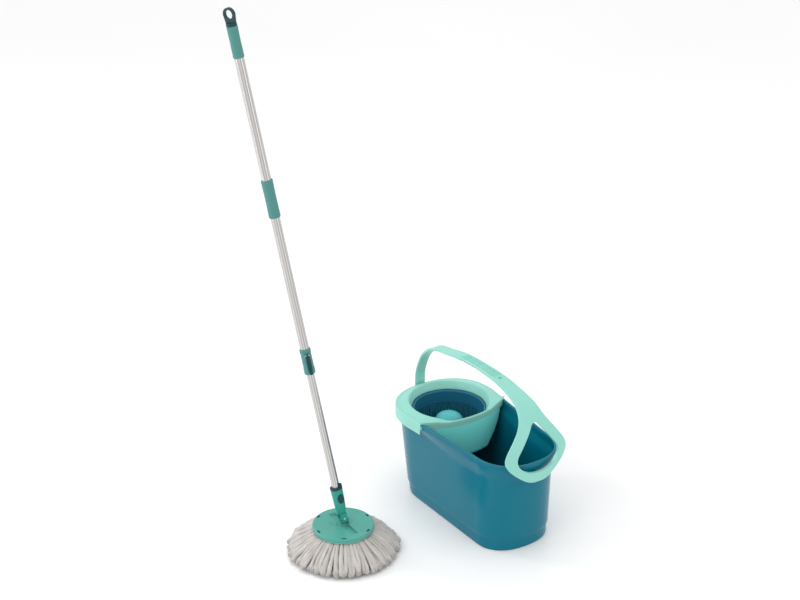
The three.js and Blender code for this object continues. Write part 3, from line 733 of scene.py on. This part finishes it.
def basket():
    def radius_at(z):
        return 90.4 + (BASKET_R - 1.2 - 90.4) * (z - BASKET_FLOOR_Z) / (BASKET_TOP_Z - BASKET_FLOOR_Z)

    heights = [152, 156, 160, 165, 175, 185, 195, 203, 206, 212, 218, 224, 229, 233.6]
    wall = slotted_wall(radius_at, heights, 160, 203, 2.2, BASKET_SLOTS)
    rim = lathe(fillet([(88.4, 232), (92.2, 232), (94.4, 233.8), (94.4, BASKET_TOP_Z - 0.2),
                        (92, BASKET_TOP_Z), (89.6, BASKET_TOP_Z - 0.6)], 0.9), 144)
    floor = lathe(fillet([(6.4, 150), (88, 150), (91, 153.4), (89.4, 156), (86.5, 152.6), (10.5, 152.4),
                          (9, 154), (9, 184), (6.4, 184)], [0, 2, 2, 0.5, 2, 1.5, 1, 0.8, 0.4]), 144)
    made = piece("basket_wall", *joined(wall, rim, floor), "spin_basket", BUCKET, "spin_basket")
    made.data.set_sharp_from_angle(angle=math.radians(40))
    finish(made, "basket_plastic")


def dome():
    foot = BASKET_FLOOR_Z + 2.9
    outer = [(0, DOME_TOP_Z), (DOME_R - 27, DOME_TOP_Z - 0.5), (DOME_R - 17, DOME_TOP_Z - 2.6),
             (DOME_R - 8, DOME_TOP_Z - 7.4), (DOME_R - 2.4, DOME_TOP_Z - 14.5),
             (DOME_R - 0.4, DOME_TOP_Z - 24), (DOME_R, 180), (DOME_R, foot)]
    inner = [(DOME_R - 2, foot), (DOME_R - 2, DOME_TOP_Z - 26), (DOME_R - 9, DOME_TOP_Z - 9.6),
             (0, DOME_TOP_Z - 2)]
    profile = [tuple(p) for p in catmull(outer[:-1], 6)] + [outer[-1]] + inner
    made = piece("wringer_dome", *lathe(profile, 96, closed=False), "spin_basket", BUCKET, "hub_dome")
    made.data.set_sharp_from_angle(angle=math.radians(60))
    finish(made, "dome_plastic")


# ---------- carry handle ----------

# Middle line of the strap over the bucket: x, z, half width, thickness.
STRAP = [
    (REAR_LEG_X, 198, 9, 4.2), (REAR_LEG_X, 203, 13.6, 5), (REAR_LEG_X, 211, 15, 5),
    (REAR_LEG_X, 236, 15, 5.3), (REAR_LEG_X, 262, 15, 5.5), (-133, 286, 15, 6), (-123, 314, 15, 7),
    (-108, 342, 15, 8), (-84, 366, 15, 9), (-50, 384, 15.5, 9), (-6, 393, 16, 9), (58, 405, 17, 10),
    (125, 410, 17, 10), (190, 410.5, 18, 10), (240, 406, 20, 9), (286, 396, 23, 8), (320, 383, 28, 8),
    (343, 363, 35, 8), (358, 342, 48, 8), (368, 318, 66, 8), (375, 292, 84, 8), (378, 272, 90, 8),
    (FRONT_BAR_X, 252, 82, 8), (FRONT_BAR_X, 234, 65, 8), (FRONT_BAR_X, 216, 42, 8),
    (FRONT_BAR_X, 208, 27, 8), (FRONT_BAR_X, 204.5, 14, 7),
]
PALM = (62, 206)  # the ribbed hollow on top, between these x
RIB_PITCH = 15.5
SCALLOPS = (72, 152)  # finger waves underneath
WAVES = 7
ACROSS = 30  # facets over the strap's width


def strap_section(x, half, thickness):
    """Cross-section in (y, lift): crowned sides, a ribbed hollow where the palm goes."""
    palm = smoothstep(x, PALM[0], PALM[0] + 6) * (1 - smoothstep(x, PALM[1] - 3, PALM[1]))
    rib = 0.5 + 0.5 * math.cos(2 * math.pi * (x - PALM[0]) / RIB_PITCH)
    hollow = palm * (5.6 - 4.4 * rib ** 3)
    strap = 1 - float(smoothstep(half, 22, 34))
    wave = smoothstep(x, SCALLOPS[0] - 8, SCALLOPS[0]) * (1 - smoothstep(x, SCALLOPS[1], SCALLOPS[1] + 8))
    share = (x - SCALLOPS[0]) / (SCALLOPS[1] - SCALLOPS[0])
    scallop = wave * 3.6 * (0.5 - 0.5 * math.cos(2 * math.pi * WAVES * share))
    u = np.linspace(-1, 1, ACROSS + 1)
    round_off = 1 - np.abs(u) ** 9
    top = thickness / 2 * (0.45 + 0.55 * round_off)
    top = top - hollow * (1 - smoothstep(np.abs(u), 0.68, 0.78))
    top = top - strap * (1 - palm) * 1.3 * (1 - smoothstep(np.abs(u), 0.7, 0.82))
    low = -thickness / 2 * (0.45 + 0.55 * round_off) + scallop
    low = low - strap * (1 - wave) * 0.5 * (1 - u * u)
    y = np.concatenate([u[::-1], u]) * half
    lift = np.concatenate([top[::-1], low])
    return y, lift


def strap_part():
    rows = catmull(STRAP, 20)
    run = np.gradient(rows[:, :2], axis=0)
    run /= np.linalg.norm(run, axis=1)[:, None]
    rings = []
    for (x, z, half, thickness), (dx, dz) in zip(rows, run):
        over = x if dx > 0.6 else -1e3
        y, lift = strap_section(over, half, thickness)
        rings.append(np.column_stack([x - dz * lift - HANDLE_BOW * y * y, y, z + dx * lift]))
    return rings_to_part(rings)


def bezier(start, control, end, steps=10):
    t = np.linspace(0, 1, steps, endpoint=False)[:, None]
    start, control, end = (np.array(p, float) for p in (start, control, end))
    return (1 - t) ** 2 * start + 2 * t * (1 - t) * control + t * t * end


def loop_hole():
    """Rounded triangle that a hand reaches through, drawn in (y, z) and run along x."""
    half = [bezier((0, 354), (7, 353), (13, 345), 6), bezier((13, 345), (34, 318), (56, 288), 8),
            bezier((56, 288), (67, 270), (54, 254)), bezier((54, 254), (36, 231), (0, 231))]
    right = np.vstack(half)
    left = right[1:][::-1] * (-1, 1)
    outline = np.vstack([right, [(0, 231)], left])
    rings = [np.column_stack([np.full(len(outline), x), outline]) for x in (325, 420)]
    return rings_to_part(rings)


def carry_handle():
    made = piece("bail", *strap_part(), None, BUCKET, smooth=False)
    combine(made, loop_hole(), "DIFFERENCE")
    soften(made, 1.5, angle=48)
    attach(made, "carry_handle")
    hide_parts("carry_handle")
    finish(made, "mint_plastic")
    button = fillet([(0, 0), (3.6, 0), (3.2, 3.4), (0, 3.6)], [0, 0, 1, 0], closed=False)
    knob = lathe(button, 32, closed=False)
    stud = piece("bail_stud", *moved(knob, (214, 0, 413.5)), None, BUCKET)
    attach(stud, "carry_handle")
    finish(stud, "mint_plastic")


# ---------- mop head ----------

SKIRT_LINE = [
    (56, 56.5), (71, 57.5), (83, 53.0), (99, 44.0),
    (116, 33.0), (127, 22.0), (131.5, 12.0), (132, 4.5),
]


def rope(bearing, drift, line, thin, thick, twist):
    """One yarn: a three-ply rope that follows `line`, [radius, z], and swells to its end."""
    steps, around = len(line), 12
    phi = np.linspace(0, 2 * np.pi, around, endpoint=False)
    rings = []
    for i, (radius, z) in enumerate(line):
        t = i / (steps - 1)
        a = bearing + drift * t * t
        centre = np.array([radius * math.cos(a), radius * math.sin(a), z])
        before, after = line[max(i - 1, 0)], line[min(i + 1, steps - 1)]
        run = np.array([after[0] - before[0], after[1] - before[1]])
        run = run / (np.linalg.norm(run) + 1e-9)
        lift = np.array([-run[1] * math.cos(a), -run[1] * math.sin(a), run[0]])
        side = np.array([-math.sin(a), math.cos(a), 0.0])
        girth = thin + (thick - thin) * t ** 0.8
        girth *= 1 + 0.07 * math.sin(9 * t + 5 * bearing)
        if i >= steps - 2:
            girth *= 0.9 if i == steps - 2 else 0.55
        ply = girth * (1 + 0.13 * np.cos(3 * phi + twist * t))
        rings.append(centre + np.outer(ply * np.cos(phi), side) + np.outer(ply * np.sin(phi), lift))
    return rings_to_part(rings)


def layer_line(drop, reach, end_z, wave, phase):
    """The skirt's line for one layer of yarns, lowered, stretched and slightly wavy."""
    line = catmull(SKIRT_LINE, 4)
    share = np.linspace(0, 1, len(line))
    radius = 56 + (line[:, 0] - 56) * reach
    z = line[:, 1] - drop * np.sin(np.pi * np.clip(share * 1.15, 0, 1)) ** 0.7
    z = z - (line[-1, 1] - end_z) * smoothstep(share, 0.7, 1)
    wobble = wave * np.sin(2 * np.pi * (share * 1.6 + phase)) * smoothstep(share, 0.15, 0.7)
    return list(zip(radius + wobble * 0.4, np.maximum(z + wobble, end_z * 0.9)))


def strands():
    parts, tones = [], []
    layers = ((62, 0.0, 0.985, 7.0), (66, 5.0, 1.03, 6.0), (60, 11.0, 0.99, 6.0), (44, 19.0, 0.88, 6.0))
    for index, (count, drop, reach, end_z) in enumerate(layers):
        for i in range(count):
            bearing = 2 * math.pi * (i + 0.5 * (index % 2) + rng.uniform(-0.32, 0.32)) / count
            stray = 0.045 * (rng.uniform() > 0.8)
            stretch = reach * (1 + stray + rng.uniform(-0.07, 0.02))
            line = layer_line(drop + rng.uniform(-0.8, 1.6), stretch, end_z + rng.uniform(0, 1.6),
                              rng.uniform(0.5, 1.6), rng.uniform(0, 1))
            part = rope(bearing, rng.uniform(-0.09, 0.09), line, rng.uniform(3.0, 3.7),
                        rng.uniform(4.6, 6.6), rng.uniform(16, 26))
            warm = rng.uniform(0, 1)
            light = rng.uniform(0.86, 1.0) * (1 - 0.05 * index)
            tones.append((light, warm, len(part[0]), len(line)))
            parts.append(part)
    made = piece("yarn_strands", *joined(*parts), "mop_pad", HEAD, "strand_skirt",
                 weld=False)
    tint_ropes(made, tones)
    finish(made, "strands")
    # painted shade: the core is the inner yarn, coloured dark (0.42) to stand for the shade between the ropes
    inner = [(0, 3), (96, 3), (118, 6), (121, 14), (112, 24), (94, 36), (76, 46), (62, 52), (58, 60), (0, 60)]
    core = piece("yarn_core", *lathe(fillet(inner, 3, closed=False), 72, closed=False), "mop_pad", HEAD)
    paint(core, "rope_tone_and_shade", np.tile([0.42, 0.39, 0.37, 1.0], (len(core.data.vertices), 1)))
    finish(core, "strands")


def tint_ropes(obj, tones):
    """Writes each yarn's tone, greyer and darker over its last stretch, with painted shade over its first stretch
    under the head.
    """
    colours = np.ones((len(obj.data.vertices), 4))
    start = 0
    for light, warm, count, steps in tones:
        base = light * (np.array([0.60, 0.565, 0.53]) * warm + np.array([0.57, 0.55, 0.535]) * (1 - warm))
        along = np.clip((np.arange(count) // 12) / (steps - 1), 0, 1)
        # painted shade: 10 percent darker over the first stretch, under the head; the last stretch 30 percent
        # darker
        root_shade_and_dark_tips = 1 - 0.30 * smoothstep(along, 0.72, 1.0) - 0.10 * (1 - smoothstep(along, 0.05, 0.3))
        colours[start:start + count, :3] = base * root_shade_and_dark_tips[:, None]
        start += count
    paint(obj, "rope_tone_and_shade", colours)


def paint(obj, name, colours):
    """Stores one colour per vertex for a material to read."""
    layer = obj.data.color_attributes.new(name, "FLOAT_COLOR", "POINT")
    layer.data.foreach_set("color", np.asarray(colours, float).ravel())


def ear_outline(radius, foot_half, drop, steps=14):
    """Upright tab with a round top about the pin, as (across, up)."""
    arc = [(radius * math.cos(a), radius * math.sin(a)) for a in np.linspace(0, math.pi, steps)]
    return [(-foot_half, -drop), (foot_half, -drop)] + arc


def plate_along(axis, outline, low, high, height=0.0, flip=1):
    """A flat plate whose outline stands in the plane across `axis`."""
    rings = []
    for depth in (low, high):
        if axis == "y":
            rings.append([(u, depth, flip * v + height) for u, v in outline])
        else:
            rings.append([(depth, u, flip * v + height) for u, v in outline])
    count = len(outline)
    points, faces = rings_to_part(rings, caps=False)
    return points, faces + [tuple(range(count)), tuple(range(count, 2 * count))]


def rod_along(axis, low, high, radius, height=0.0, segments=40):
    rings = []
    for depth in (low, high):
        circle = [(radius * math.cos(a), radius * math.sin(a))
                  for a in np.linspace(0, 2 * math.pi, segments, endpoint=False)]
        if axis == "y":
            rings.append([(u, depth, v + height) for u, v in circle])
        elif axis == "x":
            rings.append([(depth, u, v + height) for u, v in circle])
        else:
            rings.append([(u, v, depth) for u, v in circle])
    return rings_to_part(rings)


def head_disc():
    """Cap of the head: round plate, clip slots, a trench for the joint and two thumb hollows."""
    rim = [(0, 72.6), (73.4, 72.6), (73.4, DISC_BOTTOM_Z), (75.6, DISC_BOTTOM_Z), (DISC_R, 66.6),
           (DISC_R, 73.4), (74.2, DISC_TOP_Z)]
    profile = fillet(rim, [0, 0.4, 0.3, 0.3, 0.8, 1.4, 0.8], closed=False)
    profile += [(r, DISC_TOP_Z) for r in np.linspace(72.5, 4, 24)] + [(0, DISC_TOP_Z)]
    points, faces = lathe(profile, 120, closed=False)
    points = np.array(points)
    x, y, z = points.T
    hollow = 2.0 * np.exp(-(((np.abs(y) - 21) / 8) ** 2 + ((x + 4) / 18) ** 2) ** 2)
    z -= np.where(z > DISC_TOP_Z - 0.01, hollow, 0)
    made = piece("disc", np.column_stack([x, y, z]), faces, None, HEAD, smooth=False)
    combine(made, block(-57, 57, -11.4, 11.4, 66.8, 72.9), "UNION")
    slope = [(-57.6, 76), (57.6, 76), (50, 69), (-50, 69)]
    combine(made, plate_along("y", slope, -TRENCH_HALF, TRENCH_HALF), "DIFFERENCE")
    for side in (-1, 1):
        low, high = sorted((side * (TRENCH_HALF + 2.6), side * (TRENCH_HALF + 6.4)))
        combine(made, plate_along("y", ear_outline(6.5, 11, 8), low, high, FOLD_Z), "UNION")
    combine(made, rod_along("y", -20, 20, 2.6, FOLD_Z), "DIFFERENCE")
    for i in range(CLIP_COUNT):
        turn = Matrix.Rotation((i + 0.5) * 2 * math.pi / CLIP_COUNT, 4, "Z")
        slot = block(CLIP_R - 2.6, CLIP_R + 2.6, -5.6, 5.6, 70, DISC_TOP_Z + 2)
        combine(made, moved(slot, turn=turn), "DIFFERENCE")
    soften(made, 0.55, angle=38, segments=2)
    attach(made, "head_plate")
    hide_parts("head_disc")
    finish(made, "disc_plastic")


def pad_ring():
    """Carrier ring of the strand pad, and its dark snap hooks in the disc's slots, painted darker still as the
    slots' shade.
    """
    outline = [(46, 61), (72.4, 61), (72.4, DISC_BOTTOM_Z - 0.3), (46, DISC_BOTTOM_Z - 0.3)]
    ring = piece("carrier_ring", *lathe(fillet(outline, 0.8), 96), "mop_pad", HEAD, "pad_ring")
    finish(ring, "mint_plastic")
    parts = []
    for i in range(CLIP_COUNT):
        turn = Matrix.Rotation((i + 0.5) * 2 * math.pi / CLIP_COUNT, 4, "Z")
        hook = block(CLIP_R - 2.1, CLIP_R + 2.1, -5.1, 5.1, 63, DISC_TOP_Z - 1.4)
        parts.append(moved(hook, turn=turn))
    made = piece("pad_hooks", *joined(*parts), None, HEAD, smooth=False)
    soften(made, 0.4, angle=40)
    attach(made, "mop_pad")
    finish(made, "hook_plastic")


# ---------- stem ----------

def stem_piece(name, part, body, slot, *replaced, edges=None):
    made = piece(name, *part, None, STEM, smooth=edges is None)
    if edges:
        soften(made, edges, angle=38)
    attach(made, body)
    if replaced:
        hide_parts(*replaced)
    return finish(made, slot)


def shape_stem_piece(name, part, cuts, joins, body, slot, *replaced, edges=0.6, place=STEM):
    """A stem piece made by joining and cutting closed parts, then rounding its edges."""
    made = piece(name, *part, None, place, smooth=False)
    for extra in joins:
        combine(made, extra, "UNION")
    for extra in cuts:
        combine(made, extra, "DIFFERENCE")
    soften(made, edges, angle=38)
    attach(made, body)
    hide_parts(*replaced)
    return finish(made, slot)


def button_outline(margin):
    across, up = BUTTON_HALF
    return [((across + margin) * math.cos(a), (up + margin) * math.sin(a))
            for a in np.linspace(0, 2 * math.pi, 40, endpoint=False)]


def socket():
    side = catmull([(9, 12), (10.3, 16.5), (12, 22), (13.5, 36), (14.3, 57), (15, SOCKET_TOP - 1)], 5)
    outline = [(0, 12)] + [tuple(p) for p in side]
    outline += [(14.6, SOCKET_TOP), (9.8, SOCKET_TOP), (9.8, 24), (0, 24)]
    shell = lathe(outline, 72, closed=False)
    ears = [plate_along("x", ear_outline(7, 9, 14), low, high, flip=-1)
            for low, high in ((6.1, 9.6), (-9.6, -6.1))]
    pin_hole = rod_along("x", -15, 15, 2.6)
    recess = plate_along("x", button_outline(0.5), 11.3, 20, BUTTON_S)
    shape_stem_piece("socket", shell, [pin_hole, recess], ears, "lower_stem", "socket_plastic",
                     "handle_socket", edges=0.7)


def button():
    """Oval push button with a crowned, dished face."""
    rings = []
    for x, margin in ((13.2, -0.2), (14.6, 0), (15.2, -0.5), (15.5, -1.4), (15.3, -3.2), (14.9, -5.4)):
        rings.append([(x, u, v + BUTTON_S) for u, v in button_outline(margin)])
    stem_piece("oval_button", rings_to_part(rings), "release_button", "dark_plastic", "release_button")


def collar():
    low = SOCKET_TOP + 0.3
    outline = fillet([(9.9, low), (15.2, low), (15.4, low + 4.4), (13.8, low + 5.2), (9.9, low + 5.2)],
                     [0.2, 0.6, 0.9, 0.6, 0.4])
    ring = lathe(outline, 72)
    tab = [(-4.6, 0), (4.6, 0), (4.0, 9), (2.6, 12), (0, 13), (-2.6, 12), (-4.0, 9)]
    upright = plate_along("x", tab, 10.9, 14.9, low + 2.6)
    shape_stem_piece("collar", ring, [], [moved(upright, turn=Matrix.Rotation(0.6, 4, "Z"))],
                     "lower_stem", "dark_plastic", "socket_collar", edges=0.6)


def fluted_tube(name, span, wall, body, *replaced, flutes=12, depth=0.42):
    """Drawn tube with shallow flutes and turned-in ends; the flutes' floors are painted darker as shade."""
    low, high, radius = span
    phi = np.linspace(0, 2 * np.pi, flutes * 8, endpoint=False)
    wave = depth * (0.5 - 0.5 * np.cos(flutes * phi)) ** 3

    def ring(r, z, share):
        reach = r - wave * share
        return np.column_stack([reach * np.cos(phi), reach * np.sin(phi), np.full(len(phi), z)])

    rings = [ring(radius - wall, low, 0), ring(radius - 0.4, low, 0), ring(radius, low + 0.6, 0),
             ring(radius, low + 1.6, 1), ring(radius, high - 1.6, 1), ring(radius, high - 0.6, 0),
             ring(radius - 0.4, high, 0), ring(radius - wall, high, 0)]
    made = stem_piece(name, rings_to_part(rings, closed=True), body, "aluminium_tube", *replaced)
    # painted shade: colour darkened by up to 42 percent in the floor of each flute
    shade = 1 - 0.42 * wave / depth
    tones = np.column_stack([shade, shade, shade, np.ones(len(phi))])
    paint(made, "groove_shade", np.tile(tones, (len(rings), 1)))


def grooved_grip(name, span, bore, body, grooves, *replaced):
    """Moulded sleeve with a waist, rounded ends and finger grooves."""
    low, high, radius = span
    outline = [(bore, low), (radius - 1.3, low), (radius, low + 3.2)]
    for middle in np.linspace(low + 10, high - 10, grooves):
        waist = radius - 0.7 * math.sin(math.pi * (middle - low) / (high - low))
        outline += [(waist, middle - 1.6), (waist - 0.3, middle - 0.7), (waist - 0.3, middle + 0.7),
                    (waist, middle + 1.6)]
    outline += [(radius, high - 2.4), (radius - 0.9, high), (bore, high)]
    radii = [0] + [0.8] * (len(outline) - 2) + [0]
    stem_piece(name, lathe(fillet(outline, radii), 72), body, "grip_plastic", *replaced)


def length_lock():
    """Housing of the length lock, its lever and the lever's tab."""
    low, high, radius = HOUSING
    seat = MIDDLE_TUBE[0] - 0.3
    outline = [(10.1, low), (radius - 1.2, low), (radius, low + 2.4), (radius, low + 14),
               (radius - 0.7, low + 16), (radius - 0.7, high - 12), (radius, high - 10),
               (radius, high - 3), (12.2, high), (11.3, high), (11.3, seat), (10.1, seat)]
    shell = lathe(fillet(outline, [0.2, 0.8, 0.8, 0.5, 0.5, 0.5, 0.5, 0.9, 0.3, 0, 0, 0]), 72)
    ears = block(11.6, 19, -8, 8, PIVOT_S - 5, PIVOT_S + 5)
    pin_hole = moved(rod_along("y", -10, 10, 1.8), (PIVOT_X, 0, PIVOT_S))
    eye_space = moved(rod_along("y", -5.3, 5.3, 3.1), (PIVOT_X, 0, PIVOT_S))
    cuts = [block(13.7, 25, -5.3, 5.3, PIVOT_S - 8, PIVOT_S + 8), eye_space, pin_hole,
            block(8, 20, -4, 4, low + 12, low + 22)]
    shape_stem_piece("lock_shell", shell, cuts, [ears], "upper_handle", "grip_plastic",
                     "lock_housing", place=LOCK)
    arc = [(PIVOT_X + 2.8 * math.cos(a), PIVOT_S + 2.8 * math.sin(a)) for a in np.linspace(0.3, 2.2, 8)]
    side = [(13.9, low + 8), (15.4, low + 4), (17.6, low + 1.6), (20.5, low + 2.6), (20.2, low + 6),
            (18.6, low + 12), (18.4, low + 20), (18.6, PIVOT_S - 4)] + arc + [(13.9, PIVOT_S)]
    lever = plate_along("y", side, -5, 5)
    made = shape_stem_piece("lever", lever, [pin_hole], [], "lock_lever", "dark_plastic", "lock_lever",
                            edges=0.5, place=LOCK)
    middle, reach = (low + PIVOT_S + 3) / 2, (PIVOT_S + 3 - low) / 2
    turn = np.linspace(0, 2 * math.pi, 48, endpoint=False)
    across = 5.2 * np.sign(np.cos(turn)) * np.abs(np.cos(turn)) ** 0.8
    oval = list(zip(across, reach * np.sin(turn) + middle))
    combine(made, plate_along("x", oval, 8, 26), "INTERSECT")


def hanging_eye():
    top = UPPER_GRIP[1]
    side = [(0, top + 0.3), (12.4, top + 0.3), (12.4, top + 6), (11.2, top + 7.6), (0, top + 7.6)]
    flange = lathe(fillet(side, [0, 0.6, 1, 0.8, 0], closed=False), 64, closed=False)
    plug = rod_along("z", UPPER_TUBE[1] - 16, top + 2, 9.6)
    arc = [(EYE_R * math.cos(a), EYE_R * math.sin(a)) for a in np.linspace(0, math.pi, 24)]
    foot = top + 2 - EYE_S
    loop = plate_along("y", [(-11.6, foot), (11.6, foot)] + arc, -3.5, 3.5, EYE_S)
    hole = rod_along("y", -10, 10, EYE_HOLE_R, EYE_S)
    shape_stem_piece("eye_cap", flange, [hole], [plug, loop], "upper_handle", "dark_plastic",
                     "hanging_eye", edges=1.1, place=EYE)


def stem():
    socket()
    button()
    collar()
    fluted_tube("tube_lower", LOWER_TUBE, 1.0, "lower_stem", "lower_tube", flutes=10)
    fluted_tube("tube_middle", MIDDLE_TUBE, 1.0, "upper_handle", "middle_tube")
    fluted_tube("tube_upper", UPPER_TUBE, 1.0, "upper_handle", "upper_tube")
    grooved_grip("grip_middle", MIDDLE_GRIP, 11.3, "upper_handle", 7, "middle_grip")
    grooved_grip("grip_upper", UPPER_GRIP, 11.3, "upper_handle", 3, "upper_grip")
    length_lock()
    hanging_eye()


# ---------- stage ----------

CAMERA_FROM_AXLE = (3.2417, -2.2577, 2.3487)  # metres
CAMERA_PITCH = 24.63  # degrees below level
CAMERA_HEADING = 56.98
LENS = 78.2


def floor():
    points, faces = block(-40000, 40000, -40000, 40000, -20, 0)
    ground = piece("floor", points, faces, None, WORLD, smooth=False)
    made, tree, shader = material("floor")
    grain = object_noise(tree, 0.6, detail=2)
    tint = ramp(tree, grain, [(0.3, (0.93, 0.93, 0.93)), (0.7, (0.95, 0.95, 0.95))])
    tree.links.new(tint, shader.inputs["Base Color"])
    shader.inputs["Roughness"].default_value = 0.32
    shader.inputs["Specular IOR Level"].default_value = 0.25
    ground.data.materials.append(made)


def camera():
    data = bpy.data.cameras.new("camera")
    data.lens = LENS
    data.sensor_width = 36
    data.clip_end = 60
    eye = bpy.data.objects.new("camera", data)
    eye.location = BUCKET.translation + Vector(CAMERA_FROM_AXLE)
    eye.rotation_euler = (math.radians(90 - CAMERA_PITCH), 0, math.radians(CAMERA_HEADING))
    bpy.context.scene.collection.objects.link(eye)
    bpy.context.scene.camera = eye


def area_light(name, position, target, size, power, colour=(1, 1, 1)):
    data = bpy.data.lights.new(name, "AREA")
    data.shape = "RECTANGLE"
    data.size, data.size_y = size
    data.energy = power
    data.color = colour
    lamp = bpy.data.objects.new(name, data)
    lamp.location = position
    direction = Vector(target) - Vector(position)
    lamp.rotation_euler = direction.to_track_quat("-Z", "Y").to_euler()
    bpy.context.scene.collection.objects.link(lamp)


def lights():
    world = bpy.data.worlds.new("studio")
    world.use_nodes = True
    sky = world.node_tree.nodes["Background"]
    sky.inputs["Color"].default_value = (1.0, 1.0, 1.0, 1)
    sky.inputs["Strength"].default_value = 1.0
    bpy.context.scene.world = world
    middle = (0, 0, 0.35)
    area_light("key", (1.2, -3.4, 3.0), middle, (1.8, 1.8), 24)
    area_light("top", (-0.3, 0.2, 4.2), middle, (3.0, 3.0), 14)
    area_light("side", (-1.6, -3.6, 1.0), middle, (0.7, 1.8), 22)
    area_light("strip", (-2.05, -1.54, 1.89), (-0.1, 0.1, 0.25), (0.4, 0.9), 12)
    area_light("fill", (3.6, 1.6, 1.4), middle, (0.9, 1.8), 11)
    view = bpy.context.scene.view_settings
    view.view_transform = "Standard"
    view.look = "None"


def build():
    camera()
    floor()
    lights()
    tub()
    deck()
    bowl()
    basket()
    dome()
    carry_handle()
    head_disc()
    pad_ring()
    strands()
    stem()
    finish_cad_nodes()


build()
